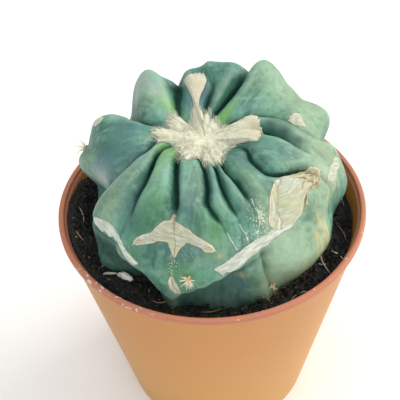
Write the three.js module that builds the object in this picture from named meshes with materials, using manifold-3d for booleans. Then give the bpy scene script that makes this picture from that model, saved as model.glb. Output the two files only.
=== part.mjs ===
// Blue barrel cactus in a small nursery pot, millimetres, +Z up, pot axis on Z.
// The plant is one grown body of thirteen puffed lobes with deep creases between them.
import * as THREE from 'three';
import { mergeVertices } from 'three/addons/utils/BufferGeometryUtils.js';
import Module from 'manifold-3d';

const wasm = await Module();
wasm.setup();

// Sizes
const RIM_HEIGHT = 55;
const RIM_RADIUS = 32.5;
const LIP_HEIGHT = 1.15;
const LIP_INNER = 31.3;
const WALL_TOP_RADIUS = 31.8;
const BASE_RADIUS = 22;
const WALL = 1.0;
const FLOOR = 1.2;
const DRAIN_RADIUS = 2.5;
const DRAIN_CIRCLE = 12.5;
const DRAIN_COUNT = 4;
const POT_SIDES = 64;

const GAP = 0.3;
const SOIL_DROP = 5;
const SOIL_TOP = RIM_HEIGHT - SOIL_DROP;
const SOIL_RELIEF = 0.45;
const BANK_BEARING = 188;
const BANK_WIDTH = 42;
const BANK_RISE = 3.8;
const FOOT_Z = SOIL_TOP + GAP;
const PLUG_TOP_RADIUS = 20.5;
const PLUG_FOOT_RADIUS = 18;
const PLUG_DEPTH = 10;

const CENTRE_X = -0.5;
const CENTRE_Y = 0.8;
const SKIN_END = 45;
const SKIN_ROWS = 31;
const LOBE_COLUMNS = [11, 5, 6, 8, 9, 5, 5, 5, 4, 4, 9, 5, 5];

const WOOL_LIFT = 0.36;
const WOOL_THICK = 1.0;
const WOOL_EDGE = 0.35;
const WOOL_ROWS = 6;
const WOOL_STEP = 4;

// Small helpers
const rad = (d) => (d * Math.PI) / 180;
const clamp = (x, a, b) => Math.min(b, Math.max(a, x));

function stationOf(xs, x) {
  let i = 0;
  while (i < xs.length - 2 && x >= xs[i + 1]) i += 1;
  return i;
}

// eased steps between stations, never past their values
function eased(rows, x, column = 1) {
  const xs = rows.map((r) => r[0]);
  const q = clamp(x, xs[0], xs[xs.length - 1]);
  const i = stationOf(xs, q);
  const u = (q - xs[i]) / (xs[i + 1] - xs[i]);
  return rows[i][column] + (rows[i + 1][column] - rows[i][column]) * u * u * (3 - 2 * u);
}

// a smooth curve through the stations
function curve(rows, x, column = 1) {
  const n = rows.length;
  const xs = rows.map((r) => r[0]);
  const ys = rows.map((r) => r[column]);
  const q = clamp(x, xs[0], xs[n - 1]);
  const i = stationOf(xs, q);
  const slope = (k) => {
    const a = Math.max(k - 1, 0);
    const b = Math.min(k + 1, n - 1);
    return (ys[b] - ys[a]) / (xs[b] - xs[a]);
  };
  const h = xs[i + 1] - xs[i];
  const u = (q - xs[i]) / h;
  const u2 = u * u;
  const u3 = u2 * u;
  return (2 * u3 - 3 * u2 + 1) * ys[i] + (u3 - 2 * u2 + u) * h * slope(i)
    + (3 * u2 - 2 * u3) * ys[i + 1] + (u3 - u2) * h * slope(i + 1);
}

// The plant's form
// Plain outline of the lobe crests at four bearings, one row per 5 mm walked from the
// crown down the skin: [distance, radius, height above the rim].
const OUTLINE = [
  [[0, 0, 14.5], [5, 5, 15.4], [10, 10, 16.9], [15, 15, 17.2], [20, 19.6, 15.6],
    [25, 23.6, 12.6], [30, 26.8, 8.8], [35, 28.3, 4.2], [40, 28, -0.7], [45, 26, -4.7]],
  [[0, 0, 14.5], [5, 5, 15.4], [10, 9.8, 17.4], [15, 14.6, 19.8], [20, 19.4, 21],
    [25, 23.8, 19.4], [30, 26.6, 14.6], [35, 27.4, 8.6], [40, 27, 2.2], [45, 25.4, -4.7]],
  [[0, 0, 14.5], [5, 5, 15.6], [10, 10, 17.2], [15, 15, 17.6], [20, 19.8, 16.2],
    [25, 23.6, 13.2], [30, 26.2, 9.3], [35, 27.4, 4.6], [40, 26.6, -0.4], [45, 25, -4.7]],
  [[0, 0, 14.5], [5, 4.9, 15.7], [10, 9.4, 17.4], [15, 14.3, 18.1], [20, 18.9, 16.6],
    [25, 22.6, 13.4], [30, 25.5, 9.2], [35, 27.4, 4.6], [40, 27.2, -0.4], [45, 26.5, -4.7]],
];

// Creases between the lobes, counter-clockwise from the right: [distance, bearing, depth].
const CREASES = [
  [[4, 56, 0.4], [8, 37, 1.4], [10.5, 30, 1.8], [12.5, 23, 1.8], [15, 18, 1.6], [17.5, 12, 1.5],
   [20, 8, 1.5], [25, 7, 2.6], [30, 9, 5.4], [36, 10, 5], [45, 7, 1]],
  [[4, 84, 0.4], [7, 78, 2.5], [10, 71, 3.8], [13.5, 66, 4.4], [17, 63, 4.2], [22.7, 63, 3.4],
   [28, 62, 3], [36, 60, 2], [45, 60, 1]],
  [[4, 100, 0.3], [7.4, 92, 1.2], [10.7, 86, 1.8], [14, 83, 1.3], [17, 87, 0.9], [22, 88, 0.9],
   [30, 87, 0.9], [45, 87, 0.6]],
  [[4, 135, 0.3], [8, 129, 1.8], [11, 119, 2.8], [14.6, 110, 4.2], [20, 106, 6], [25, 105, 5.6],
   [35, 107, 3], [45, 110, 1]],
  [[4, 165, 0.3], [8.7, 161, 1.4], [13.2, 157, 2.6], [18.3, 148, 5.4], [24, 140, 8.5],
   [30, 139, 8], [36, 142, 5], [45, 150, 1]],
  [[4, 188, 0.2], [8, 190, 0.8], [10, 194, 2], [12.4, 203, 3], [15.5, 206, 3.2], [18, 208, 3],
   [20, 208, 2.8], [25, 205, 3.8], [30, 201, 5.6], [36, 199, 5.4], [45, 202, 3]],
  [[4, 199, 0.2], [7, 201, 0.9], [9.6, 205, 2.2], [12, 214, 3], [14.5, 222, 3.2], [18, 227, 3.2],
   [21, 228, 2.8], [24, 229, 1.8], [27, 230, 0.6], [30, 230, 0.1], [36, 228, 0], [45, 226, 0.3]],
  [[4, 215, 0.2], [6.5, 222, 0.8], [8.5, 230, 2], [12.4, 242, 3], [16, 248, 3.2], [20, 252, 2.8],
   [23.3, 252.5, 1], [27, 253, 0.1], [31, 254, 0], [36, 255, 0], [45, 254, 0]],
  [[4, 255, 0.1], [8.3, 262, 0.8], [10.5, 267, 2], [13.5, 269, 2.4], [17, 270, 2.4],
   [20, 269.5, 2.2], [22, 272, 1.8], [25, 276.5, 0.5], [28, 277, 0], [45, 274, 0]],
  [[4, 272, 0.1], [9, 277, 0.8], [11.3, 279, 2], [15.4, 279, 2.2], [18, 280, 2], [21, 282, 1.5],
   [24, 284, 0.4], [28, 284, 0], [45, 284, 0]],
  [[4, 285, 0.1], [8, 286, 0.8], [9.5, 286, 2], [13, 286, 2.8], [16, 290, 2.6], [19, 292, 2],
   [21.5, 292.5, 0.8], [26, 292, 0.1], [30, 291.5, 0.2], [32, 292, 1.1], [36, 293, 2],
   [41, 295, 1.5], [45, 296, 0.6]],
  [[4, 338, 0.2], [7, 336, 0.6], [8.6, 332, 1.2], [11.3, 318, 2], [14.6, 314, 2.4],
   [17, 314, 2.4], [18.4, 318, 2.2], [20.8, 331, 1.8], [23, 336, 1.2], [26, 338, 0.6],
   [30, 338, 0.5], [36, 335, 0.8], [45, 335, 0.8]],
  [[4, 362, 0.1], [7, 366, 0.5], [9.8, 366, 2], [12.6, 359, 3.8], [15.6, 353, 4.2],
   [17.8, 350, 3.4], [19.7, 347, 1.6], [22, 346, 0.3], [30, 350, 0.2], [45, 352, 0.2]],
];

// Lobe after each crease: how steeply its back falls to the crease before it and to the one
// after it, then crest height [distance, height].
const LOBES = [
  [3.4, 5, [[0, 0], [10, 0.2], [15, 0.2], [20, 0.6], [26, 1], [32, 0.2], [45, 0]]],
  [2.2, 3, [[0, 0], [10, 0.2], [20, -0.4], [26, -0.6], [45, 0]]],
  [3, 3, [[0, 0], [8, 0.2], [14, -0.6], [20, -2.4], [30, -2], [45, 0]]],
  [2.4, 2.6, [[0, 0], [10, 0.2], [20, 0.5], [26, 0.3], [45, 0]]],
  [3.2, 2.2, [[0, 0], [8, 0.5], [12, 0.8], [20, 0.8], [28, 0.2], [36, -0.6], [45, 0]]],
  [5, 2.1, [[0, 0], [12, 0.6], [18, 0.5], [25, 0], [30, -0.2], [36, -0.2], [45, 0.4]]],
  [5.5, 2.2, [[0, 0], [12, 0.6], [20, 0.5], [25, 0.1], [30, 0], [45, 0]]],
  [7, 3, [[0, 0], [10, 0.6], [20, 0.5], [25, 0.3], [30, 0], [45, 0]]],
  [3, 2.1, [[0, 0], [12, 0.2], [20, 0.2], [25, 0], [45, 0]]],
  [3, 2.2, [[0, 0], [12, 0.2], [20, 0.2], [25, 0], [45, 0]]],
  [4.4, 3, [[0, 0], [12, 0.4], [20, 0.4], [25, 0.2], [30, 0], [36, 0.4], [45, 0]]],
  [4, 5, [[0, 0], [10, 0.5], [15, 1.2], [20, 0.9], [25, 0.1], [30, 0.1], [45, 0]]],
  [1.9, 3.4, [[0, 0], [8, 0.7], [12, 0.7], [15, 0.5], [20, 0.2], [25, 0], [30, 0.3], [36, 0.4], [45, 0]]],
];

// Swellings and hollows: [bearing, distance, half width in degrees, half width in mm, height].
const SWELLS = [
  [57, 22, 8, 6, 3.2], [45, 21.5, 6, 4, 1.2], [33, 25, 6, 5, -0.6], [23, 30.2, 6.5, 3.6, 2.9],
  [28, 26.5, 5, 3, 0.6], [18, 36.5, 9, 6, -1.8], [70, 20, 5, 5, 0.5], [82, 20, 5, 5, -0.6],
  [122, 22, 7, 5, 1.3], [131, 34, 6, 5, -1], [139, 30, 7, 6, -2], [113, 20, 7, 7, -2.2],
  [160, 24, 7, 5, 1.5], [176, 30, 8, 4, 1.1], [194, 33, 9, 8, -3.2], [187, 34.5, 7, 5, -2.2],
  [174, 38.5, 10, 5, -2.4], [184, 38, 8, 6, -1.6], [238, 43.5, 7, 5.5, -2.6],
  [253, 43.5, 6.5, 5, 1.8], [274, 46.5, 14, 5.5, 3.8], [284, 39, 6, 5, 0.5],
  [309, 36, 10, 7, 0.9], [324, 38, 8, 4, 0.4], [342, 28, 8, 4, 0.6], [331, 32.5, 6, 3, -0.7],
  [342, 34, 8, 4.5, -2.2], [345, 40, 9, 4.5, -1.3], [0, 37.5, 6, 3.5, 0.6], [5, 26.5, 6, 3.2, 1.2],
  [20, 33.5, 5, 3, -0.8], [44, 26, 4, 3, -0.6], [167, 28.3, 6, 3, -0.9], [181, 33.5, 6, 3, -1],
  [214, 45, 7, 4, 2], [294, 45, 6, 4, 1.3],
  [316, 29, 3.5, 1.1, -0.6], [321, 31.2, 3.5, 1.1, -0.6],
];

// Overhanging edge of the upper growth round the front: [bearing, distance, step in].
const EDGE = [
  [190, 33, 0], [203, 31, 0.4], [212, 32.5, 1], [225, 32.5, 1.8], [232, 35.5, 2.2],
  [240, 37, 2.2], [248, 40, 1.2], [254, 40.6, 0.8], [260, 39.2, 2.4], [266, 37.8, 3],
  [272, 36, 3], [279, 34, 2.4], [287, 32.4, 1.3], [293, 31, 0.7], [305, 28.8, 0.5],
  [320, 28, 0.4], [340, 27, 0],
];
const EDGE_RUN = 2.4;

function outlineAt(bearing, walk) {
  const b = ((bearing % 360) + 360) % 360;
  const i = Math.floor(b / 90) % 4;
  const u = b / 90 - Math.floor(b / 90);
  const w = u * u * (3 - 2 * u);
  const from = OUTLINE[i];
  const to = OUTLINE[(i + 1) % 4];
  const mix = (column) => curve(from, walk, column) * (1 - w) + curve(to, walk, column) * w;
  return [mix(1), mix(2)];
}

function creaseRow(walk) {
  const bearings = CREASES.map((c) => curve(c, Math.max(walk, c[0][0]), 1));
  const depths = CREASES.map((c) => {
    const start = c[0][0];
    return walk < start ? c[0][2] * (walk / start) ** 2 : eased(c, walk, 2);
  });
  bearings.push(bearings[0] + 360);
  depths.push(depths[0]);
  return { bearings, depths };
}

function swellAt(bearing, walk) {
  let h = 0;
  for (const [b0, w0, across, along, height] of SWELLS) {
    const db = ((bearing - b0 + 540) % 360) - 180;
    h += height * Math.exp(-((db / across) ** 2) - ((walk - w0) / along) ** 2);
  }
  const b = ((bearing % 360) + 360) % 360;
  if (b > 190 && b < 340) {
    const q = clamp((walk - eased(EDGE, b, 1)) / EDGE_RUN + 0.5, 0, 1);
    h -= eased(EDGE, b, 2) * q * q * (3 - 2 * q);
  }
  return h;
}

function lobeHeight(row, k, u, walk) {
  const [before, after, crest] = LOBES[k];
  const top = eased(crest, walk);
  const depth = u < 0.5 ? row.depths[k] : row.depths[k + 1];
  return -depth + (top + depth) * (1 - Math.abs(2 * u - 1) ** (u < 0.5 ? before : after));
}

function bearingAt(row, k, u) {
  return row.bearings[k] + u * (row.bearings[k + 1] - row.bearings[k]);
}

// height of the skin over the plain outline at any bearing
function skinHeight(row, bearing, walk) {
  let b = bearing;
  while (b < row.bearings[0]) b += 360;
  while (b >= row.bearings[13]) b -= 360;
  let k = 0;
  while (k < 12 && b >= row.bearings[k + 1]) k += 1;
  const u = (b - row.bearings[k]) / (row.bearings[k + 1] - row.bearings[k]);
  return lobeHeight(row, k, u, walk) + swellAt(b, walk);
}

function overOutline(bearing, walk, height) {
  const step = 0.05;
  const [r, z] = outlineAt(bearing, walk);
  const [r1, z1] = outlineAt(bearing, walk + step);
  const [r0, z0] = outlineAt(bearing, walk - step);
  const run = Math.hypot(r1 - r0, z1 - z0) || 1;
  const out = -(z1 - z0) / run;
  const up = (r1 - r0) / run;
  const radius = r + out * height;
  return new THREE.Vector3(
    CENTRE_X + radius * Math.cos(rad(bearing)),
    CENTRE_Y + radius * Math.sin(rad(bearing)),
    RIM_HEIGHT + z + up * height,
  );
}

// Solids
// Rings share one column count and run from the top point down to the bottom point.
function ringGeometry(top, rings, bottom) {
  const n = rings[0].length;
  const points = [top, ...rings.flat(), bottom];
  const last = points.length - 1;
  const at = (i, j) => 1 + i * n + (j % n);
  const index = [];
  for (let j = 0; j < n; j += 1) {
    index.push(0, at(0, j), at(0, j + 1));
    for (let i = 0; i < rings.length - 1; i += 1) {
      index.push(at(i, j), at(i + 1, j), at(i + 1, j + 1));
      index.push(at(i, j), at(i + 1, j + 1), at(i, j + 1));
    }
    index.push(at(rings.length - 1, j), last, at(rings.length - 1, j + 1));
  }
  const geometry = new THREE.BufferGeometry().setFromPoints(points);
  geometry.setIndex(index);
  return geometry;
}

function solidOf(geometry) {
  const bare = geometry.clone();
  bare.deleteAttribute('normal');
  bare.deleteAttribute('uv');
  const merged = mergeVertices(bare, 1e-4);
  const ids = merged.index.array;
  const kept = [];
  for (let i = 0; i < ids.length; i += 3) {
    const [p, q, r] = [ids[i], ids[i + 1], ids[i + 2]];
    if (p !== q && q !== r && r !== p) kept.push(p, q, r);
  }
  return new wasm.Manifold(new wasm.Mesh({
    numProp: 3,
    vertProperties: new Float32Array(merged.attributes.position.array),
    triVerts: new Uint32Array(kept),
  }));
}

function geometryOf(solid) {
  const mesh = solid.getMesh();
  const geometry = new THREE.BufferGeometry();
  geometry.setAttribute('position', new THREE.BufferAttribute(mesh.vertProperties, 3));
  geometry.setIndex(new THREE.BufferAttribute(mesh.triVerts, 1));
  geometry.computeVertexNormals();
  return geometry;
}

// Pot
const wallSlope = (WALL_TOP_RADIUS - BASE_RADIUS) / (RIM_HEIGHT - LIP_HEIGHT);
const outerWall = (z) => BASE_RADIUS + wallSlope * z;
const innerWall = (z) => outerWall(z) - WALL;
const lipFoot = RIM_HEIGHT - LIP_HEIGHT;

function buildPot() {
  const profile = [
    [0, 0],
    [BASE_RADIUS - 0.5, 0],
    [outerWall(0.5), 0.5],
    [outerWall(lipFoot), lipFoot],
    [RIM_RADIUS - 0.2, lipFoot],
    [RIM_RADIUS, lipFoot + 0.2],
    [RIM_RADIUS, RIM_HEIGHT - 0.3],
    [RIM_RADIUS - 0.3, RIM_HEIGHT],
    [LIP_INNER + 0.3, RIM_HEIGHT],
    [LIP_INNER, RIM_HEIGHT - 0.4],
    [innerWall(lipFoot), lipFoot],
    [innerWall(FLOOR + 0.6), FLOOR + 0.6],
    [innerWall(FLOOR) - 0.6, FLOOR],
    [0, FLOOR],
  ].map(([r, z]) => new THREE.Vector2(r, z));
  const shell = new THREE.LatheGeometry(profile, POT_SIDES).rotateX(Math.PI / 2);
  let pot = solidOf(shell);
  for (let i = 0; i < DRAIN_COUNT; i += 1) {
    const a = rad(45 + (i * 360) / DRAIN_COUNT);
    const drain = new THREE.CylinderGeometry(DRAIN_RADIUS, DRAIN_RADIUS, FLOOR + 2, 20)
      .rotateX(Math.PI / 2)
      .translate(DRAIN_CIRCLE * Math.cos(a), DRAIN_CIRCLE * Math.sin(a), FLOOR / 2);
    pot = pot.subtract(solidOf(drain));
  }
  return pot;
}

function circle(radius, z, sides = POT_SIDES) {
  return Array.from({ length: sides }, (_, j) => {
    const a = (j / sides) * 2 * Math.PI;
    return new THREE.Vector3(radius * Math.cos(a), radius * Math.sin(a), z);
  });
}

// Soil
function grain(x, y) {
  return 0.5 * Math.sin(x * 1.9 + 1.3 * Math.sin(y * 1.1)) * Math.cos(y * 1.7 + 0.6 * x)
    + 0.5 * Math.sin(x * 0.7 - y * 0.9 + 2);
}

function buildSoil(footRow) {
  const plugHole = (dz) => PLUG_TOP_RADIUS + GAP - ((PLUG_TOP_RADIUS - PLUG_FOOT_RADIUS) * dz) / PLUG_DEPTH;
  const bankAt = (a) => {
    const aside = (((a * 180) / Math.PI - BANK_BEARING + 540) % 360) - 180;
    return BANK_RISE * Math.exp(-((aside / BANK_WIDTH) ** 2));
  };
  const footAt = (a) => {
    const [r] = outlineAt(a, SKIN_END);
    return r + skinHeight(footRow, a, SKIN_END) + 1.4;
  };
  const ringAt = (share) => Array.from({ length: POT_SIDES }, (_, j) => {
    const a = (j / POT_SIDES) * 2 * Math.PI;
    const edge = innerWall(SOIL_TOP + bankAt(a)) - GAP;
    const start = Math.min(footAt((a * 180) / Math.PI), edge - 1.5);
    const r = share < 0 ? plugHole(0) : start + (edge - start) * share;
    const lift = share <= 0 ? 0 : SOIL_RELIEF * (1 - Math.abs(2 * share - 1) ** 3);
    const x = r * Math.cos(a);
    const y = r * Math.sin(a);
    const s = Math.max(share, 0);
    const bank = bankAt(a) * s * s * (3 - 2 * s);
    return new THREE.Vector3(x, y, SOIL_TOP + lift * grain(x, y) + bank);
  });
  return solidOf(ringGeometry(
    new THREE.Vector3(0, 0, FOOT_Z - PLUG_DEPTH - 2 * GAP),
    [
      circle(plugHole(PLUG_DEPTH), FOOT_Z - PLUG_DEPTH - 2 * GAP),
      ringAt(-1),
      ...[0, 0.2, 0.4, 0.6, 0.8, 1].map(ringAt),
      circle(innerWall(FLOOR + GAP + 1) - GAP, FLOOR + GAP + 1),
      circle(innerWall(FLOOR) - GAP - 1, FLOOR + GAP),
    ],
    new THREE.Vector3(0, 0, FLOOR + GAP),
  ));
}

// Plant body
// short stiff spines standing round an areole: [bearing, distance, count, length]
const TUFTS = [
  [261, 34.7, 9, 1.9],
  [171, 27.6, 6, 2.4],
  [296, 42, 4, 1.2],
];
const SPINE_ROOT = 0.24;
const SPINE_SINK = 0.7;
const AREOLE_RADIUS = 0.75;

function skinPoint(bearing, walk) {
  return overOutline(bearing, walk, skinHeight(creaseRow(walk), bearing, walk));
}

function tuftSolids([bearing, walk, count, length]) {
  const seat = skinPoint(bearing, walk);
  const out = overOutline(bearing, walk, 1).sub(overOutline(bearing, walk, 0)).normalize();
  const side = new THREE.Vector3(0, 0, 1).cross(out).normalize();
  const rise = out.clone().cross(side);
  const up = new THREE.Vector3(0, 1, 0);
  const put = (geometry, direction, p) => solidOf(geometry
    .applyQuaternion(new THREE.Quaternion().setFromUnitVectors(up, direction))
    .translate(p.x, p.y, p.z));
  const pad = new THREE.SphereGeometry(AREOLE_RADIUS, 10, 6).scale(1, 0.55, 1);
  const parts = [put(pad, out, seat)];
  const root = seat.clone().addScaledVector(out, -SPINE_SINK * 0.6);
  for (let i = 0; i < count; i += 1) {
    const a = ((i + 0.3 * Math.sin(i * 5)) / count) * 2 * Math.PI;
    const lean = i % 3 === 0 ? 0.5 : 1.05;
    const direction = out.clone().multiplyScalar(Math.cos(lean))
      .addScaledVector(side, Math.sin(lean) * Math.cos(a))
      .addScaledVector(rise, Math.sin(lean) * Math.sin(a));
    const reach = length * (0.8 + 0.25 * Math.cos(i * 2.4)) + SPINE_SINK;
    const spine = new THREE.CylinderGeometry(0.07, SPINE_ROOT, reach, 5).translate(0, reach / 2, 0);
    parts.push(put(spine, direction, root));
  }
  return parts;
}

function buildBody() {
  const rings = [];
  for (let i = 1; i <= SKIN_ROWS; i += 1) {
    const walk = (i / SKIN_ROWS) ** 0.92 * SKIN_END;
    const row = creaseRow(walk);
    const ring = [];
    LOBE_COLUMNS.forEach((columns, k) => {
      for (let j = 0; j < columns; j += 1) {
        const v = j / columns;
        const u = v - 0.09 * Math.sin(2 * Math.PI * v);
        const bearing = bearingAt(row, k, u);
        ring.push(overOutline(bearing, walk, lobeHeight(row, k, u, walk) + swellAt(bearing, walk)));
      }
    });
    rings.push(ring);
  }
  const foot = rings[rings.length - 1];
  for (const p of foot) p.z = FOOT_Z;
  const plugRing = (radius, z) => foot.map((p) => {
    const a = Math.atan2(p.y, p.x);
    return new THREE.Vector3(radius * Math.cos(a), radius * Math.sin(a), z);
  });
  rings.push(plugRing(PLUG_TOP_RADIUS, FOOT_Z));
  rings.push(plugRing(PLUG_FOOT_RADIUS, FOOT_Z - PLUG_DEPTH));
  const bottom = new THREE.Vector3(0, 0, FOOT_Z - PLUG_DEPTH);
  const body = solidOf(ringGeometry(overOutline(270, 0.06, 0), rings, bottom));
  return TUFTS.flatMap(tuftSolids).reduce((solid, part) => solid.add(part), body);
}

// Crown wool
// How far the felted wool runs from the crown: [bearing, distance]. Its long arms lie
// along the backs of lobes, the longest one up the lobe at the back.
const WOOL_REACH = [
  [-8, 11], [6, 11.2], [21, 11.2], [32, 9.5], [45, 5.6], [57, 5], [79, 7], [87, 9], [91, 16.5],
  [96, 18.4], [102, 18.4], [106, 13.5], [111, 8.5], [119, 7], [130, 8.5], [140, 9], [150, 8.8],
  [160, 8], [169, 9], [182, 10], [194, 8.8], [205, 6.6], [219, 7], [232, 8.5], [246, 9.6],
  [259, 7.6], [271, 9.8], [280, 9.8], [291, 8], [306, 5.6], [325, 5.4], [337, 6.5], [343, 10],
  [352, 11], [366, 11.2],
];

function buildWool() {
  const bearings = [];
  for (let b = 0; b < 360; b += WOOL_STEP) {
    bearings.push(b);
    if (b > 84 && b < 108) bearings.push(b + WOOL_STEP / 2);
  }
  const seatHeight = (bearing, walk) => {
    const row = creaseRow(walk);
    const spread = clamp(55 / Math.max(walk, 1), 3, 20);
    const near = [-1, -0.5, 0, 0.5, 1].map((q) => skinHeight(row, bearing + q * spread, walk));
    return Math.max(...near) + WOOL_LIFT;
  };
  const under = [];
  const over = [];
  for (let i = 1; i <= WOOL_ROWS; i += 1) {
    const share = i / WOOL_ROWS;
    const thick = WOOL_EDGE + (WOOL_THICK - WOOL_EDGE) * (1 - share ** 3);
    const seats = bearings.map((b) => [b, eased(WOOL_REACH, b > 352 ? b - 360 : b) * share]);
    under.push(seats.map(([b, w]) => overOutline(b, w, seatHeight(b, w))));
    over.push(seats.map(([b, w]) => overOutline(b, w, seatHeight(b, w) + thick)));
  }
  const top = overOutline(270, 0.06, WOOL_LIFT + WOOL_THICK + 0.2);
  const bottom = overOutline(270, 0.06, WOOL_LIFT + 0.15);
  return solidOf(ringGeometry(top, [...over, ...under.reverse()], bottom));
}

// Assembly
const group = new THREE.Group();
group.name = 'blue_barrel_cactus';

function addPiece(name, solid, material) {
  const mesh = new THREE.Mesh(geometryOf(solid), material);
  mesh.name = name;
  group.add(mesh);
}

addPiece('pot', buildPot(), new THREE.MeshStandardMaterial({
  name: 'pot_plastic', color: 0xc27a52, roughness: 0.5,
}));
addPiece('soil', buildSoil(creaseRow(SKIN_END)), new THREE.MeshStandardMaterial({
  name: 'dark_peat', color: 0x17140f, roughness: 0.95,
}));
addPiece('cactus_body', buildBody(), new THREE.MeshStandardMaterial({
  name: 'cactus_skin', color: 0x6f9f86, roughness: 0.6,
}));
addPiece('crown_wool', buildWool(), new THREE.MeshStandardMaterial({
  name: 'cream_wool', color: 0xe3dcc4, roughness: 0.9,
}));

export default group;
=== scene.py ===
import math
import bmesh
import bpy
import numpy as np
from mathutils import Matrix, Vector, noise


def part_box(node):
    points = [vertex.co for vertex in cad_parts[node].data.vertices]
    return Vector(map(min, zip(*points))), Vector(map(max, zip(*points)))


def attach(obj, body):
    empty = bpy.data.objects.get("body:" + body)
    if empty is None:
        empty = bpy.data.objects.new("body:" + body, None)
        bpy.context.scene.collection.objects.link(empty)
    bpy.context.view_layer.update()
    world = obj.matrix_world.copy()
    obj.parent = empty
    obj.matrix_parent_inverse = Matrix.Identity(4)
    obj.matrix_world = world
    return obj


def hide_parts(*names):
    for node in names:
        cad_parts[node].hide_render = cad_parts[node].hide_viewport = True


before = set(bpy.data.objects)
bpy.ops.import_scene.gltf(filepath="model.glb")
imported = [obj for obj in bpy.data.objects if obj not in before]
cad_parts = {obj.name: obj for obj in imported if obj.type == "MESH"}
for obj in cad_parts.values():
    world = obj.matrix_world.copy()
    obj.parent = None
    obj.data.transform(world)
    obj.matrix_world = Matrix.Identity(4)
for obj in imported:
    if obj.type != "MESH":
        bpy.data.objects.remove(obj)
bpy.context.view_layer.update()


# The camera looks down into the pot at about 44 degrees through a long lens, from where
# the round rim shows as the ellipse that the picture has.
CAMERA_PLACE = (0.0, -0.119428, 0.169543)
CAMERA_TURN = (46.12, 2.306, -1.063)
LENS = 70.0
SENSOR = 36.0
NEAR_CLIP = 0.01

camera_data = bpy.data.cameras.new("camera")
camera_data.lens = LENS
camera_data.sensor_width = SENSOR
camera_data.clip_start = NEAR_CLIP
camera = bpy.data.objects.new("camera", camera_data)
camera.location = CAMERA_PLACE
camera.rotation_euler = [math.radians(a) for a in CAMERA_TURN]
bpy.context.collection.objects.link(camera)
bpy.context.scene.camera = camera


# The table and the light. A white table top in a bright room: one large soft window to the
# right and behind the plant, weaker light from above, the left and the front, and white walls.
TABLE_RADIUS = 3.0
TABLE_CORNERS = 96
SKY_STRENGTH = 0.54
# name, place, size, power and colour of each light
WINDOWS = [
    ("window", (0.55, 0.22, 0.42), 0.5, 4.4, "fff9f0"),
    ("ceiling", (-0.05, 0.12, 0.7), 0.6, 1.3, "fdfeff"),
    ("far_window", (-0.5, -0.2, 0.5), 0.5, 0.6, "eef4ff"),
    ("front_window", (0.2, -0.6, 0.4), 0.5, 1.7, "fdfdff"),
]


def tint(code):
    """A colour from its rrggbb code, as the renderer's linear values."""
    parts = [int(code[i:i + 2], 16) / 255 for i in (0, 2, 4)]
    linear = [c / 12.92 if c <= 0.04045 else ((c + 0.055) / 1.055) ** 2.4 for c in parts]
    return (*linear, 1.0)


class Shade:
    """A socket of a material that sums, products and mixtures are written with."""

    def __init__(self, tree, socket=None):
        self.tree = tree
        self.socket = socket

    def node(self, kind, settings=None, sockets=None, out=0):
        """A new node: its settings, then the values or links of its sockets."""
        made = self.tree.nodes.new(kind)
        for name, value in (settings or {}).items():
            setattr(made, name, value)
        for name, value in (sockets or {}).items():
            if isinstance(value, Shade):
                self.tree.links.new(value.socket, made.inputs[name])
            else:
                made.inputs[name].default_value = value
        return Shade(self.tree, made.outputs[out] if made.outputs else None)

    def maths(self, operation, *values):
        """A Math node on these values."""
        return self.node("ShaderNodeMath", {"operation": operation}, dict(enumerate(values)))

    def __add__(self, other):
        return self.maths("ADD", self, other)

    def __sub__(self, other):
        return self.maths("SUBTRACT", self, other)

    def __rsub__(self, other):
        return self.maths("SUBTRACT", other, self)

    def __mul__(self, other):
        return self.maths("MULTIPLY", self, other)

    __radd__ = __add__
    __rmul__ = __mul__

    def step(self, low, high):
        """0 below low, 1 above high and an eased rise between, or a fall if low is higher."""
        ends = (low, high, 0.0, 1.0) if low < high else (high, low, 1.0, 0.0)
        sockets = {"Value": self, "From Min": ends[0], "From Max": ends[1],
                   "To Min": ends[2], "To Max": ends[3]}
        return self.node("ShaderNodeMapRange", {"interpolation_type": "SMOOTHSTEP"}, sockets)

    def mix(self, first, second):
        """The first colour where this value is 0 and the second where it is 1; codes will do."""
        first, second = [tint(c) if isinstance(c, str) else c for c in (first, second)]
        return self.node("ShaderNodeMix", {"data_type": "RGBA"}, {0: self, 6: first, 7: second}, 2)

    def noise(self, where, scale, detail):
        """Cloudy noise over these coordinates."""
        return self.node("ShaderNodeTexNoise", {}, {"Vector": where, "Scale": scale, "Detail": detail})

    def grain(self, size, detail=3.0):
        """Cloudy noise with patches of this size in millimetres."""
        return self.noise(self.node("ShaderNodeTexCoord", out="Object"), 1000.0 / size, detail)

    def read(self, name, out="Fac"):
        """A value that the mesh carries at its points."""
        return self.node("ShaderNodeAttribute", {"attribute_name": name}, out=out)

    def finish(self, colour, roughness, height, depth, more=None):
        """The surface itself, with a relief of this depth in millimetres."""
        relief = {"Height": height, "Distance": depth / 1000, "Strength": 1.0}
        relief = self.node("ShaderNodeBump", {}, relief)
        sockets = {"Base Color": colour, "Roughness": roughness, "Normal": relief}
        surface = self.node("ShaderNodeBsdfPrincipled", {}, {**sockets, **(more or {})})
        self.node("ShaderNodeOutputMaterial", {}, {"Surface": surface})


def new_material(name):
    """An empty material and the pen that its nodes are written with."""
    material = bpy.data.materials.new(name)
    material.use_nodes = True
    material.node_tree.nodes.clear()
    return material, Shade(material.node_tree)


table_white, pen = new_material("table_white")
shade = pen.grain(60.0).mix("f1f1ef", "f7f7f5")
pen.finish(shade, 0.7, pen.grain(2.0), 0.05)

table_mesh = bpy.data.meshes.new("table_top")
circle = [(TABLE_RADIUS * math.cos(a), TABLE_RADIUS * math.sin(a), 0.0)
          for a in np.linspace(0, 2 * math.pi, TABLE_CORNERS, endpoint=False)]
table_mesh.from_pydata(circle, [], [range(len(circle))])
table_mesh.materials.append(table_white)
table = bpy.data.objects.new("table_top", table_mesh)
bpy.context.collection.objects.link(table)

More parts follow.
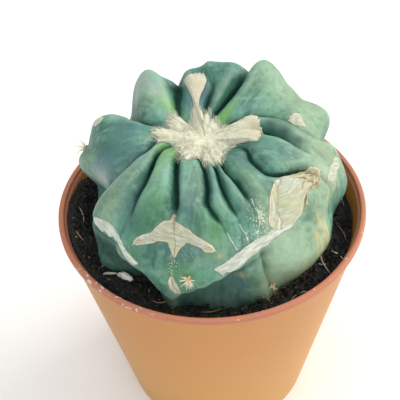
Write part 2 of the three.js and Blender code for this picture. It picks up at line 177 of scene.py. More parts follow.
world = bpy.data.worlds.new("bright_room")
world.use_nodes = True
world.node_tree.nodes["Background"].inputs["Color"].default_value = tint("ffffff")
world.node_tree.nodes["Background"].inputs["Strength"].default_value = SKY_STRENGTH
bpy.context.scene.world = world
bpy.context.scene.view_settings.view_transform = "Standard"

for name, spot, size, power, colour in WINDOWS:
    light_data = bpy.data.lights.new(name, "AREA")
    light_data.size = size
    light_data.energy = power
    light_data.color = tint(colour)[:3]
    light = bpy.data.objects.new(name, light_data)
    light.location = spot
    light.rotation_euler = (-Vector(spot)).to_track_quat("-Z", "Y").to_euler()
    bpy.context.collection.objects.link(light)


# The pot is a thin moulded nursery pot of terracotta-coloured plastic, with a narrow flat-topped
# lip, a tapered wall and four drain holes. It stands on the table and carries everything else.
MM = 0.001
pot_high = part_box("pot")[1]
RIM_HEIGHT = pot_high.z / MM
RIM_RADIUS = pot_high.x / MM
LIP_HEIGHT = 1.15
LIP_WIDTH = 1.2
WALL_TOP_RADIUS = RIM_RADIUS - 0.7
BASE_RADIUS = 22.0
WALL = 1.0
FLOOR = 1.2
DRAIN_RADIUS = 2.5
DRAIN_CIRCLE = 12.5
DRAIN_COUNT = 4
FIRST_DRAIN = 45
FLOOR_START = DRAIN_CIRCLE * 0.3
POT_COLUMNS = 256
DRILL_COLUMNS = 40
CORNER_STEPS = 4


def rounded(corners):
    """A profile whose corners (radius, height, rounding) are eased by short curves."""
    line = []
    for i, (radius, height, size) in enumerate(corners):
        here = np.array((radius, height))
        if size == 0:
            line.append(here)
            continue
        before = np.array(corners[i - 1][:2]) - here
        after = np.array(corners[i + 1][:2]) - here
        start = here + before / np.linalg.norm(before) * size
        end = here + after / np.linalg.norm(after) * size
        for t in np.linspace(0, 1, CORNER_STEPS + 1):
            line.append((1 - t) ** 2 * start + 2 * t * (1 - t) * here + t * t * end)
    return np.array(line)


def around(radius, turn, height):
    """Points at this radius and turn about the pot's axis and at this height."""
    return np.stack([radius * np.cos(turn), radius * np.sin(turn), height + 0 * turn], axis=-1)


def turned(profile, columns):
    """Rings of points round the pot's axis, one for each point of the profile."""
    turn = np.linspace(0, 2 * math.pi, columns, endpoint=False)
    return around(profile[:, :1], turn, profile[:, 1:])


def ring_mesh(name, first, rings, last):
    """A closed mesh in metres from a first point, over rings in millimetres, to a last point."""
    rows, columns = rings.shape[:2]
    points = np.vstack([first, rings.reshape(-1, 3), last]) * MM
    here = 1 + np.arange(rows * columns).reshape(rows, columns)
    beside = np.roll(here, -1, axis=1)
    faces = np.stack([here[:-1], here[1:], beside[1:], beside[:-1]], axis=-1).reshape(-1, 4).tolist()
    faces += [(0, a, b) for a, b in zip(here[0].tolist(), beside[0].tolist())]
    faces += [(a, len(points) - 1, b) for a, b in zip(here[-1].tolist(), beside[-1].tolist())]
    mesh = bpy.data.meshes.new(name)
    mesh.from_pydata(points.tolist(), [], faces)
    mesh.shade_smooth()
    return mesh


def place(name, mesh, material, node):
    """The mesh as a piece of the part, in its material, standing for this node."""
    mesh.materials.clear()
    mesh.materials.append(material)
    piece = bpy.data.objects.new(name, mesh)
    bpy.context.collection.objects.link(piece)
    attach(piece, "root")
    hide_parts(node)


lip_foot = RIM_HEIGHT - LIP_HEIGHT
wall_slope = (WALL_TOP_RADIUS - BASE_RADIUS) / lip_foot


def inner_wall(height):
    """Radius of the wall's inner face at this height."""
    return BASE_RADIUS + wall_slope * height - WALL


pot_profile = rounded([
    (FLOOR_START, FLOOR, 0),
    (inner_wall(FLOOR), FLOOR, 1.2),
    (inner_wall(lip_foot), lip_foot, 0.3),
    (RIM_RADIUS - LIP_WIDTH, lip_foot + 0.4, 0.2),
    (RIM_RADIUS - LIP_WIDTH, RIM_HEIGHT, 0.45),
    (RIM_RADIUS, RIM_HEIGHT, 0.45),
    (RIM_RADIUS, lip_foot, 0.3),
    (WALL_TOP_RADIUS, lip_foot, 0.15),
    (BASE_RADIUS, 0, 0.8),
    (FLOOR_START, 0, 0),
])
pot_mesh = ring_mesh("pot_shell", (0, 0, FLOOR), turned(pot_profile, POT_COLUMNS), (0, 0, 0))

drill_profile = np.array([(DRAIN_RADIUS, FLOOR + 1), (DRAIN_RADIUS, -1.0)])
drill_rings = turned(drill_profile, DRILL_COLUMNS)
drill_mesh = ring_mesh("drill", (0, 0, FLOOR + 1), drill_rings, (0, 0, -1))
drill = bpy.data.objects.new("drill", drill_mesh)
bare_pot = bpy.data.objects.new("bare_pot", pot_mesh)
bpy.context.collection.objects.link(bare_pot)
bpy.context.collection.objects.link(drill)
for i in range(DRAIN_COUNT):
    turn = math.radians(FIRST_DRAIN + 360 / DRAIN_COUNT * i)
    drill.location = (DRAIN_CIRCLE * MM * math.cos(turn), DRAIN_CIRCLE * MM * math.sin(turn), 0)
    cut = bare_pot.modifiers.new("drain", "BOOLEAN")
    cut.object = drill
    cut.operation = "DIFFERENCE"
    bpy.context.view_layer.update()
    cut_pot = bare_pot.evaluated_get(bpy.context.evaluated_depsgraph_get())
    drained = bpy.data.meshes.new_from_object(cut_pot)
    bare_pot.modifiers.clear()
    bare_pot.data = drained
bpy.data.objects.remove(drill)
bpy.data.objects.remove(bare_pot)
drained.set_sharp_from_angle(angle=math.radians(50))


def layered(colour, *layers):
    """The colour with each tint laid over it in turn, as far as its share goes."""
    for share, code in layers:
        colour = share.mix(colour, code)
    return colour


pot_plastic, pen = new_material("terracotta_plastic")
here = pen.node("ShaderNodeTexCoord", out="Object")
east, north, level = [pen.node("ShaderNodeSeparateXYZ", {}, {"Vector": here}, axis) for axis in "XYZ"]
bearing = pen.maths("ARCTAN2", north, east)
on_lip = level.step((RIM_HEIGHT - 1.9) * MM, (RIM_HEIGHT - 1.1) * MM)
cloud = pen.grain(9.0)
wall = layered(level.step(0.0, RIM_HEIGHT * MM).mix("cc9649", "bc7d39"), (cloud * 0.5, "c48e4a"))
lip = cloud.mix("ae6c50", "bc7a5c")
lime_start = bearing.step(math.radians(-150), math.radians(-138))
lime_end = bearing.step(math.radians(-108), math.radians(-120))
lime = lime_start * lime_end * pen.grain(1.1, 5.0).step(0.54, 0.62) * level.step(54.1 * MM, 54.6 * MM)
stray_lime = pen.grain(0.9, 2.0).step(0.7, 0.74) * level.step(54.4 * MM, 54.8 * MM)
colour = layered(on_lip.mix(wall, lip), (pen.maths("MAXIMUM", lime, stray_lime) * 0.8, "dcd6cf"))
scuff = pen.grain(0.5, 5.0)
pen.finish(colour, 0.38 + scuff * 0.2, scuff + lime * 2.0, 0.05, {
    "Subsurface Weight": 0.15, "Subsurface Radius": (1.0, 0.5, 0.25), "Subsurface Scale": 0.002,
})
place("pot", drained, pot_plastic, "pot")


# The plant's body is one grown piece: thirteen puffed lobes with deep creases between them,
# a corky skin where it has healed, and a waxy blue-green bloom over fresh green flesh.
CENTRE = (-0.5, 0.8)
SKIN_END = 45.0
SKIN_ROWS = 200
ROW_CROWDING = 0.92
COLUMN_CROWDING = 0.09
LOBE_COLUMNS = [44, 20, 24, 32, 54, 35, 35, 35, 28, 28, 63, 35, 30]
FOOT_HEIGHT = 50.3
PLUG_TOP_RADIUS = 20.5
PLUG_FOOT_RADIUS = 18.0
PLUG_DEPTH = 10.0
CROWN_BEARING = 270.0
CROWN_WALK = 0.06
SLOPE_STEP = 0.05

# plain outline over the lobes at four bearings: walk down the skin, radius, height over the rim
OUTLINE = [
    [[0, 0, 14.5], [5, 5, 15.4], [10, 10, 16.9], [15, 15, 17.2], [20, 19.6, 15.6], [25, 23.6, 12.6],
     [30, 26.8, 8.8], [35, 28.3, 4.2], [40, 28, -0.7], [45, 26, -4.7]],
    [[0, 0, 14.5], [5, 5, 15.4], [10, 9.8, 17.4], [15, 14.6, 19.8], [20, 19.4, 21], [25, 23.8, 19.4],
     [30, 26.6, 14.6], [35, 27.4, 8.6], [40, 27, 2.2], [45, 25.4, -4.7]],
    [[0, 0, 14.5], [5, 5, 15.6], [10, 10, 17.2], [15, 15, 17.6], [20, 19.8, 16.2], [25, 23.6, 13.2],
     [30, 26.2, 9.3], [35, 27.4, 4.6], [40, 26.6, -0.4], [45, 25, -4.7]],
    [[0, 0, 14.5], [5, 4.9, 15.7], [10, 9.4, 17.4], [15, 14.3, 18.1], [20, 18.9, 16.6], [25, 22.6, 13.4],
     [30, 25.5, 9.2], [35, 27.4, 4.6], [40, 27.2, -0.4], [45, 26.5, -4.7]],
]

# creases between the lobes, counter-clockwise from the right: walk, bearing, depth
CREASES = [
    [[4, 56, 0.4], [8, 37, 1.4], [10.5, 30, 1.8], [12.5, 23, 1.8], [15, 18, 1.6], [17.5, 12, 1.5],
     [20, 8, 1.5], [25, 7, 2.6], [30, 9, 5.4], [36, 10, 5], [45, 7, 1]],
    [[4, 84, 0.4], [7, 78, 2.5], [10, 71, 3.8], [13.5, 66, 4.4], [17, 63, 4.2], [22.7, 63, 3.4],
     [28, 62, 3], [36, 60, 2], [45, 60, 1]],
    [[4, 100, 0.3], [7.4, 92, 1.2], [10.7, 86, 1.8], [14, 83, 1.3], [17, 87, 0.9], [22, 88, 0.9],
     [30, 87, 0.9], [45, 87, 0.6]],
    [[4, 135, 0.3], [8, 129, 1.8], [11, 119, 2.8], [14.6, 110, 4.2], [20, 106, 6], [25, 105, 5.6],
     [35, 107, 3], [45, 110, 1]],
    [[4, 165, 0.3], [8.7, 161, 1.4], [13.2, 157, 2.6], [18.3, 148, 5.4], [24, 140, 8.5], [30, 139, 8],
     [36, 142, 5], [45, 150, 1]],
    [[4, 188, 0.2], [8, 190, 0.8], [10, 194, 2], [12.4, 203, 3], [15.5, 206, 3.2], [18, 208, 3],
     [20, 208, 2.8], [25, 205, 3.8], [30, 201, 5.6], [36, 199, 5.4], [45, 202, 3]],
    [[4, 199, 0.2], [7, 201, 0.9], [9.6, 205, 2.2], [12, 214, 3], [14.5, 222, 3.2], [18, 227, 3.2],
     [21, 228, 2.8], [24, 229, 1.8], [27, 230, 0.6], [30, 230, 0.1], [36, 228, 0], [45, 226, 0.3]],
    [[4, 215, 0.2], [6.5, 222, 0.8], [8.5, 230, 2], [12.4, 242, 3], [16, 248, 3.2], [20, 252, 2.8],
     [23.3, 252.5, 1], [27, 253, 0.1], [31, 254, 0], [36, 255, 0], [45, 254, 0]],
    [[4, 255, 0.1], [8.3, 262, 0.8], [10.5, 267, 2], [13.5, 269, 2.4], [17, 270, 2.4], [20, 269.5, 2.2],
     [22, 272, 1.8], [25, 276.5, 0.5], [28, 277, 0], [45, 274, 0]],
    [[4, 272, 0.1], [9, 277, 0.8], [11.3, 279, 2], [15.4, 279, 2.2], [18, 280, 2], [21, 282, 1.5],
     [24, 284, 0.4], [28, 284, 0], [45, 284, 0]],
    [[4, 285, 0.1], [8, 286, 0.8], [9.5, 286, 2], [13, 286, 2.8], [16, 290, 2.6], [19, 292, 2],
     [21.5, 292.5, 0.8], [26, 292, 0.1], [30, 291.5, 0.2], [32, 292, 1.1], [36, 293, 2], [41, 295, 1.5],
     [45, 296, 0.6]],
    [[4, 338, 0.2], [7, 336, 0.6], [8.6, 332, 1.2], [11.3, 318, 2], [14.6, 314, 2.4], [17, 314, 2.4],
     [18.4, 318, 2.2], [20.8, 331, 1.8], [23, 336, 1.2], [26, 338, 0.6], [30, 338, 0.5], [36, 335, 0.8],
     [45, 335, 0.8]],
    [[4, 362, 0.1], [7, 366, 0.5], [9.8, 366, 2], [12.6, 359, 3.8], [15.6, 353, 4.2], [17.8, 350, 3.4],
     [19.7, 347, 1.6], [22, 346, 0.3], [30, 350, 0.2], [45, 352, 0.2]],
]

# the lobe after each crease: how steeply its back falls to the crease before it and to the
# one after it, then walk and height of its crest
LOBES = [
    [3.4, 5, [[0, 0], [10, 0.2], [15, 0.2], [20, 0.6], [26, 1], [32, 0.2], [45, 0]]],
    [2.2, 3, [[0, 0], [10, 0.2], [20, -0.4], [26, -0.6], [45, 0]]],
    [3, 3, [[0, 0], [8, 0.2], [14, -0.6], [20, -2.4], [30, -2], [45, 0]]],
    [2.4, 2.6, [[0, 0], [10, 0.2], [20, 0.5], [26, 0.3], [45, 0]]],
    [3.2, 2.2, [[0, 0], [8, 0.5], [12, 0.8], [20, 0.8], [28, 0.2], [36, -0.6], [45, 0]]],
    [5, 2.1, [[0, 0], [12, 0.6], [18, 0.5], [25, 0], [30, -0.2], [36, -0.2], [45, 0.4]]],
    [5.5, 2.2, [[0, 0], [12, 0.6], [20, 0.5], [25, 0.1], [30, 0], [45, 0]]],
    [7, 3, [[0, 0], [10, 0.6], [20, 0.5], [25, 0.3], [30, 0], [45, 0]]],
    [3, 2.1, [[0, 0], [12, 0.2], [20, 0.2], [25, 0], [45, 0]]],
    [3, 2.2, [[0, 0], [12, 0.2], [20, 0.2], [25, 0], [45, 0]]],
    [4.4, 3, [[0, 0], [12, 0.4], [20, 0.4], [25, 0.2], [30, 0], [36, 0.4], [45, 0]]],
    [4, 5, [[0, 0], [10, 0.5], [15, 1.2], [20, 0.9], [25, 0.1], [30, 0.1], [45, 0]]],
    [1.9, 3.4, [[0, 0], [8, 0.7], [12, 0.7], [15, 0.5], [20, 0.2], [25, 0], [30, 0.3], [36, 0.4], [45, 0]]],
]

# swellings and hollows: bearing, walk, half width in degrees, half width in mm, height
SWELLS = [
    [57, 22, 8, 6, 3.2], [45, 21.5, 6, 4, 1.2], [33, 25, 6, 5, -0.6], [23, 30.2, 6.5, 3.6, 2.9],
    [28, 26.5, 5, 3, 0.6], [18, 36.5, 9, 6, -1.8], [70, 20, 5, 5, 0.5], [82, 20, 5, 5, -0.6],
    [122, 22, 7, 5, 1.3], [131, 34, 6, 5, -1], [139, 30, 7, 6, -2], [113, 20, 7, 7, -2.2],
    [160, 24, 7, 5, 1.5], [176, 30, 8, 4, 1.1], [194, 33, 9, 8, -3.2], [187, 34.5, 7, 5, -2.2],
    [174, 38.5, 10, 5, -2.4], [184, 38, 8, 6, -1.6], [238, 43.5, 7, 5.5, -2.6], [253, 43.5, 6.5, 5, 1.8],
    [274, 46.5, 14, 5.5, 3.8], [284, 39, 6, 5, 0.5], [309, 36, 10, 7, 0.9], [324, 38, 8, 4, 0.4],
    [342, 28, 8, 4, 0.6], [331, 32.5, 6, 3, -0.7], [342, 34, 8, 4.5, -2.2], [345, 40, 9, 4.5, -1.3],
    [0, 37.5, 6, 3.5, 0.6], [5, 26.5, 6, 3.2, 1.2], [20, 33.5, 5, 3, -0.8], [44, 26, 4, 3, -0.6],
    [167, 28.3, 6, 3, -0.9], [181, 33.5, 6, 3, -1], [214, 45, 7, 4, 2], [294, 45, 6, 4, 1.3],
    [316, 29, 3.5, 1.1, -0.6], [321, 31.2, 3.5, 1.1, -0.6],
]

# overhanging edge of the upper growth round the front: bearing, walk, step in
EDGE = [
    [190, 33, 0], [203, 31, 0.4], [212, 32.5, 1], [225, 32.5, 1.8], [232, 35.5, 2.2], [240, 37, 2.2],
    [248, 40, 1.2], [254, 40.6, 0.8], [260, 39.2, 2.4], [266, 37.8, 3], [272, 36, 3], [279, 34, 2.4],
    [287, 32.4, 1.3], [293, 31, 0.7], [305, 28.8, 0.5], [320, 28, 0.4], [340, 27, 0],
]
EDGE_RUN = 2.4
# the skin's streaks run down the lobes and the cork's fibres along each mark
STREAK_RADIUS = 20
STREAK_STRETCH = 0.16
FIBRE_STRETCH = 0.2
# relief of the skin in millimetres
WRINKLE, LUMP, CORK_RISE, CRINKLE, PUCKER = 0.03, 0.1, 0.1, 0.04, 0.16
GROOVE_DEPTH, GROOVE_WIDTH = 0.1, 0.22
SLIT_DEPTH, SCRATCH_RISE, LINE_WIDTH = 0.16, 0.05, 0.25


def ease(u):
    """0 below 0, 1 above 1 and an eased rise between."""
    q = np.clip(u, 0, 1)
    return q * q * (3 - 2 * q)


def stations(rows, x, column):
    """The rows' places and values, the places asked for and the row before each of them."""
    xs = np.array([r[0] for r in rows], float)
    ys = np.array([r[column] for r in rows], float)
    q = np.clip(x, xs[0], xs[-1])
    i = np.clip(np.searchsorted(xs, q, side="right") - 1, 0, len(xs) - 2)
    return xs, ys, q, i


def eased(rows, x, column=1):
    """Eased steps between the rows' values, never past them."""
    xs, ys, q, i = stations(rows, x, column)
    return ys[i] + (ys[i + 1] - ys[i]) * ease((q - xs[i]) / (xs[i + 1] - xs[i]))


def curve(rows, x, column=1):
    """A smooth curve through the rows' values."""
    xs, ys, q, i = stations(rows, x, column)
    k = np.arange(len(xs))
    after, before = np.minimum(k + 1, len(xs) - 1), np.maximum(k - 1, 0)
    slope = (ys[after] - ys[before]) / (xs[after] - xs[before])
    h = xs[i + 1] - xs[i]
    u = (q - xs[i]) / h
    return ((2 * u**3 - 3 * u**2 + 1) * ys[i] + (u**3 - 2 * u**2 + u) * h * slope[i]
            + (3 * u**2 - 2 * u**3) * ys[i + 1] + (u**3 - u**2) * h * slope[i + 1])


def outline_at(bearing, walk):
    """Radius and height over the rim of the plain outline."""
    radius, height = 0.0, 0.0
    for i, rows in enumerate(OUTLINE):
        apart = np.abs((bearing - 90 * i + 180) % 360 - 180)
        share = ease(1 - apart / 90)
        radius = radius + share * curve(rows, walk, 1)
        height = height + share * curve(rows, walk, 2)
    return radius, height


def over_outline(bearing, walk, height):
    """Points this far out from the plain outline, in millimetres from the pot's base."""
    radius, level = outline_at(bearing, walk)
    radius_on, level_on = outline_at(bearing, walk + SLOPE_STEP)
    radius_back, level_back = outline_at(bearing, walk - SLOPE_STEP)
    run = np.hypot(radius_on - radius_back, level_on - level_back)
    run = np.where(run == 0, 1, run)
    reach = radius - (level_on - level_back) / run * height
    turn = np.radians(bearing)
    return np.stack([CENTRE[0] + reach * np.cos(turn), CENTRE[1] + reach * np.sin(turn),
                     RIM_HEIGHT + level + (radius_on - radius_back) / run * height], axis=-1)


def crease_row(walk):
    """Bearing and depth of every crease at each walk; the last one is the first again."""
    bearings = [curve(c, np.maximum(walk, c[0][0])) for c in CREASES]
    depths = [np.where(walk < c[0][0], c[0][2] * (walk / c[0][0]) ** 2, eased(c, walk, 2))
              for c in CREASES]
    return np.array(bearings + [bearings[0] + 360]), np.array(depths + [depths[0]])


def lobe_height(k, u, walk, depths):
    """Height of a lobe's back at the share u of the way across it."""
    before, after, crest = LOBES[k]
    top = eased(crest, walk)
    depth = np.where(u < 0.5, depths[k], depths[k + 1])
    return -depth + (top + depth) * (1 - np.abs(2 * u - 1) ** np.where(u < 0.5, before, after))


def spots(rows, bearing, walk):
    """Sum of the rows' soft round spots at each place."""
    total = 0.0
    for bearing_0, walk_0, across, along, strength in rows:
        apart = (bearing - bearing_0 + 540) % 360 - 180
        total = total + strength * np.exp(-((apart / across) ** 2) - ((walk - walk_0) / along) ** 2)
    return total


def swell_at(bearing, walk):
    """Height of the swellings, less the step in under the overhanging edge."""
    b = bearing % 360
    step = ease((walk - eased(EDGE, b)) / EDGE_RUN + 0.5) * eased(EDGE, b, 2)
    return spots(SWELLS, bearing, walk) - np.where((b > EDGE[0][0]) & (b < EDGE[-1][0]), step, 0)


def skin_height(bearing, walk):
    """Height of the skin over the plain outline at any place."""
    bearings, depths = crease_row(walk)
    b = bearings[0] + (bearing - bearings[0]) % 360
    height = np.zeros_like(b)
    for k in range(len(LOBES)):
        within = (b >= bearings[k]) & (b < bearings[k + 1])
        u = (b - bearings[k]) / (bearings[k + 1] - bearings[k])
        height = np.where(within, lobe_height(k, u, walk, depths), height)
    return height + swell_at(b, walk)


# corky and pale marks on the skin: how silvery, how bright, which way their wrinkles lie (degrees
# from level, seen from outside), and an outline of bearings and walks
SCARS = [
    (0.2, 0.85, 6, [(236, 29.6), (237.3, 28.8), (239, 27.9), (243, 26.9), (245, 25.6), (248, 24.1),
        (250.6, 23.9), (251.4, 22.6), (252.4, 22.6), (253, 23.9), (255, 24.1), (260, 25), (264, 26.2),
        (268, 27.1), (270.8, 27.9), (272, 28.8), (271, 29.4), (268, 29.2), (265.5, 28.3), (263, 27.9),
        (260, 27.4), (258.6, 28.1), (256.8, 28.9), (255.2, 30.6), (254.4, 30.4), (252.6, 29), (251.5, 28),
        (248, 27.9), (245, 28.7), (241.5, 29.4), (238, 30.2), (236.6, 30.2)]),
    (0.9, 0.9, 17, [(209.9, 31.4), (212, 30.2), (215.3, 29.6), (219.7, 28.9), (224.8, 29.2),
        (228.2, 30.1), (230.7, 31), (233.9, 32.3), (237.3, 33.2), (239.9, 33.8), (237.6, 34.9),
        (234.9, 34.7), (233, 33.6), (231.6, 33.1), (228.3, 31.5), (226.6, 31.4), (225.6, 31),
        (222.6, 31.9), (220, 31.2), (217.8, 32.2), (215, 31.6), (213.1, 32.4)]),
    (0.75, 0.94, -18, [(270.6, 32.5), (274.3, 31.7), (279, 30.3), (284.4, 29), (289.7, 28.1),
        (294.7, 27.8), (298.5, 27), (304, 27), (311, 27), (308.5, 27.9), (306.2, 28.6), (302, 28.4),
        (298.9, 28.9), (296, 29.2), (293.9, 29.8), (291, 30.1), (289, 30.7), (285.1, 31.4), (283.6, 31.9),
        (281.8, 32.5), (277.8, 33.4), (275.6, 33.3), (274.5, 34), (272.6, 33.2)]),
    (0.2, 0.76, 3, [(311, 19.2), (307, 20.3), (303, 22.2), (300, 24.1), (297.5, 26), (298.5, 27.4),
        (303, 27.3), (308, 27.9), (313, 27.4), (316.5, 26.6), (318, 26.2), (319.5, 25.3), (323, 24.9),
        (327, 24.4), (330, 24.8), (335, 25.3), (339, 25.1), (340, 23.7), (337, 22.1), (335, 22.1),
        (333, 21.5), (328.5, 20.3), (319, 19.3)]),
    (0.05, 1.15, -62, [(311.5, 19.2), (307, 20.2), (303, 21.6), (300, 23.5), (297.3, 26), (298.6, 27.5),
        (302, 27.8), (303.4, 26.4), (302.8, 24.8), (305.6, 22.8), (309, 20.9), (316, 19.6)]),
    (0.5, 0.72, 40, [(19.5, 20.6), (18.6, 19), (16.8, 18.2), (14.8, 17.7), (13, 18.4), (11.3, 19.6),
        (11.2, 21), (12.1, 22.4), (13.2, 21.8), (14.6, 21.3), (17, 21.2)]),
    (0.6, 0.66, 40, [(359, 28.7), (356.2, 29.9), (352, 29.4), (347.1, 29.2), (340.5, 28), (338.4, 27),
        (341, 26.3), (343.6, 26.4), (348, 26.6), (352.1, 27.3), (357, 27.6)]),
    (0.4, 0.9, 30, [(160.5, 24.6), (159.4, 23.5), (160.2, 22.4), (161.7, 21.7), (164, 22), (165.6, 22.6),
        (165.1, 23.8), (163, 24.8)]),
    (0.3, 1.0, 80, [(254.3, 34), (253.2, 35), (252.6, 36.3), (253.6, 37.8), (255.6, 38.7), (257.8, 38.4),
        (257.2, 37.2), (256.2, 36), (255, 34.9)]),
]

# thin lines on the skin, each 0 for a white scratch, 0.5 for an ochre vein or 1 for a dark slit
LINES = [
    (0, [(294.1, 20.8), (293.7, 22.3), (294.5, 23.5), (293.8, 25.2), (292.6, 26), (291.5, 26.9)]),
    (0, [(278.1, 26.3), (278.9, 27.3), (279.4, 27.6), (281, 29.2)]),
    (0, [(284.4, 25.1), (284.8, 26), (286, 26.6), (286.2, 27.8)]),
    (0, [(296.1, 23.6), (295, 24.3), (295.6, 25.4)]), (0, [(236.2, 30.2), (237.2, 28.7), (241, 27.6)]),
    (0, [(266, 27.6), (270.4, 27.9), (271.9, 28.9)]),
    (1, [(251.9, 22.9), (252.6, 24.4), (253.2, 25.1), (253.7, 26.2), (254.9, 27.8), (254.8, 30.2)]),
    (1, [(254.4, 34.7), (254.6, 36), (255.5, 37.2), (256.8, 38)]), (1, [(160.5, 15.2), (161.2, 15.4)]),
    (0.5, [(267.9, 28.3), (269.6, 28.2), (270.6, 28.6), (270.4, 28.9), (268.6, 28.7), (267.9, 28.3)]),
    (0.5, [(237.3, 29.8), (238.6, 29), (241.5, 28.4)]),
    (0.5, [(246.4, 26.6), (250.2, 26.8), (252.9, 26.4)]), (0.5, [(245, 28.2), (249, 27.5), (252, 27.2)]),
    (0.5, [(256, 25.2), (259.1, 26), (263, 27.2)]), (0.5, [(300.2, 25.6), (303.5, 26.8), (308, 26.9)]),
    (0.5, [(330, 21.6), (333.6, 22.8), (332, 24)]),
]

# soft marks, real stains and painted light and shade: bearing, walk, half width in degrees, half width in
# mm, strength
STAINS_AND_PAINTED_LIGHT = {
    "fresh": [[126, 11.5, 6, 3.5, 0.9], [133, 12.5, 5, 3, 0.6], [61, 7, 10, 2.4, 1], [57, 10, 6, 3, 0.6],
        [219, 8.9, 7, 2.8, 1], [203, 9.4, 6, 2.8, 0.9], [229, 14, 4, 4, 0.6], [240, 22, 7, 5, 0.4],
        [298, 14, 6, 5, 0.15], [272, 25, 6, 4, 0.4], [258, 34, 9, 3, 0.4], [236, 33, 5, 3, 0.35],
        [291, 37, 6, 3, 0.3]],
    # a bluish tint, partly painted shade on the left lobes and on shaded flanks
    "blue_tint_and_painted_shade": [[192, 22, 8, 4, 0.8], [200, 13.5, 8, 3.5, 0.6], [175, 15, 10, 3, 0.5],
        [108, 10.1, 5, 4, 0.8], [90, 11, 5, 4, 0.8], [29, 8.1, 8, 1.6, 0.7], [258, 29.5, 10, 2.5, 0.45],
        [281, 38, 9, 3, 0.6], [258, 20, 4, 5, 0.35], [305, 11, 6, 2.5, 0.55], [226, 24, 5, 4, 0.4],
        [275, 12, 4, 5, 0.3], [99, 16, 2.5, 5, 0.4]],
    # painted light: a paler hazy grey-green on lobes washed with light, most on the right and back
    "pale_painted_light": [[0, 24, 22, 8, 0.9], [33, 22, 16, 7, 0.7], [50, 20, 8, 5, 0.4], [335, 28, 16, 6, 0.9],
        [305, 34, 14, 7, 1], [299, 21, 6, 5, 0.5], [135, 19, 10, 7, 0.6], [216, 26, 7, 6, 0.5],
        [273, 29, 7, 3, 0.4], [30, 28, 8, 5, 0.6], [182, 27, 8, 5, 0.5], [262, 14, 6, 5, 0.3],
        [302, 33, 6, 6, 0.6], [294, 38.5, 5, 3, 0.5], [258, 27, 8, 4, 0.3], [218, 24, 6, 6, 0.3]],
    # a whitish waxy bloom, partly a painted highlight on dimly lit lobes
    "milky_bloom_and_highlight": [[193, 27.5, 5, 4.5, 0.75], [198, 25, 4, 3, 0.6], [189, 32, 4, 5, 0.5], [209, 19, 4, 3.4, 1],
        [302, 33, 8, 5, 0.3], [295, 38.7, 4, 3, 0.35], [130, 17, 6, 5, 0.6], [128, 23, 6, 4, 0.4],
        [341, 26, 4, 3, 0.4]],
    # painted shade: a darker green down in and beside the creases
    "deep_painted_shade": [[284, 16, 9, 7, 0.75], [95, 14.5, 13, 6.5, 1.1], [70, 17, 8, 6, 0.7], [300, 13, 8, 5, 0.6],
        [236, 25, 9, 4, 0.5], [5, 14.5, 9, 3.2, 1.3], [120, 15, 6, 4, 0.3], [184, 17, 14, 3.5, 0.5],
        [25, 31, 9, 5, 0.3]],
    "ochre": [[318, 35, 2.6, 3.2, 1.3], [324, 34, 2.6, 4, 1.4], [312, 39, 8, 2.4, 0.6],
        [273.5, 30, 1.3, 0.5, 0.9], [283.3, 35.9, 3, 0.8, 0.6], [266, 31, 2.5, 0.9, 0.3],
        [230, 33, 3, 1.5, 0.3], [295, 42, 5, 2, 0.5], [296, 24.6, 3, 2.2, 0.4]],
    # painted light: a light sage green on lobes that the lamps leave too dim
    "sage_painted_light": [[302, 33, 8, 6, 0.65], [295.5, 38.5, 5, 4, 0.6], [299, 20.5, 5, 5, 0.2],
        [118, 27, 7, 5, 0.3], [220, 27, 5, 3, 0.35]],
    # painted shade under the overhanging edge of the upper growth, down to the soil
    "under_edge_painted_shade": [[219, 38, 10, 4, 0.8], [262, 42, 8, 3, 0.6], [250, 42.5, 6, 3, 0.5], [235, 41, 12, 3.5, 0.8],
        [275, 41, 9, 3.4, 0.7], [284, 45, 9, 3, 0.6], [203, 34, 7, 5, 0.5]],
    # painted shade in the folds and under the overhanging lobes
    "fold_painted_shade": [[7, 13, 6, 1.5, 0.9], [359.5, 15.6, 5, 1.6, 1], [355, 19, 3, 2.2, 0.9],
        [352, 23.5, 2.5, 2.4, 0.6], [82, 10, 6, 3, 0.8], [237, 26, 6, 3.4, 0.5], [191, 18.4, 9, 3, 0.5],
        [216, 16, 3, 5, 0.3], [245, 32, 7, 2.5, 0.35], [172, 17.5, 7, 2, 0.4], [215, 34.5, 9, 2, 0.4],
        [281, 36, 7, 2, 0.5]],
    "speckle": [[294, 24.8, 4.5, 3, 1], [254.6, 32.4, 1.8, 2, 0.9], [287, 28, 5, 2, 0.5],
        [262, 30, 5, 1.2, 0.2]],
    "lilac": [[243, 28.4, 2.6, 1, 0.8], [265, 27.3, 2.6, 1, 0.9], [318, 20.8, 7, 1.6, 0.8],
        [301, 22.6, 2, 2.6, 0.5]],
    "olive": [[308, 23.4, 4, 1.8, 0.9], [316, 25.2, 6, 1.4, 0.7], [254.6, 29.2, 2.4, 1.2, 0.7],
        [308, 21.2, 2.6, 1, 0.5]],
}


def chart(points, bearing, walk):
    """The outline's points and the skin's points on one flat chart in millimetres."""
    corners = np.array(points, float)
    middle = corners.mean(axis=0)
    per_degree = math.radians(float(outline_at(middle[0], middle[1])[0]))
    x = ((bearing - middle[0] + 540) % 360 - 180) * per_degree
    return (corners[:, 0] - middle[0]) * per_degree, corners[:, 1], x, walk


def distance_to(ax, ay, bx, by, x, y):
    """Distance to the straight line from a to b."""
    length = (bx - ax) ** 2 + (by - ay) ** 2
    along = np.clip(((x - ax) * (bx - ax) + (y - ay) * (by - ay)) / length, 0, 1)
    return np.hypot(x - ax - along * (bx - ax), y - ay - along * (by - ay))


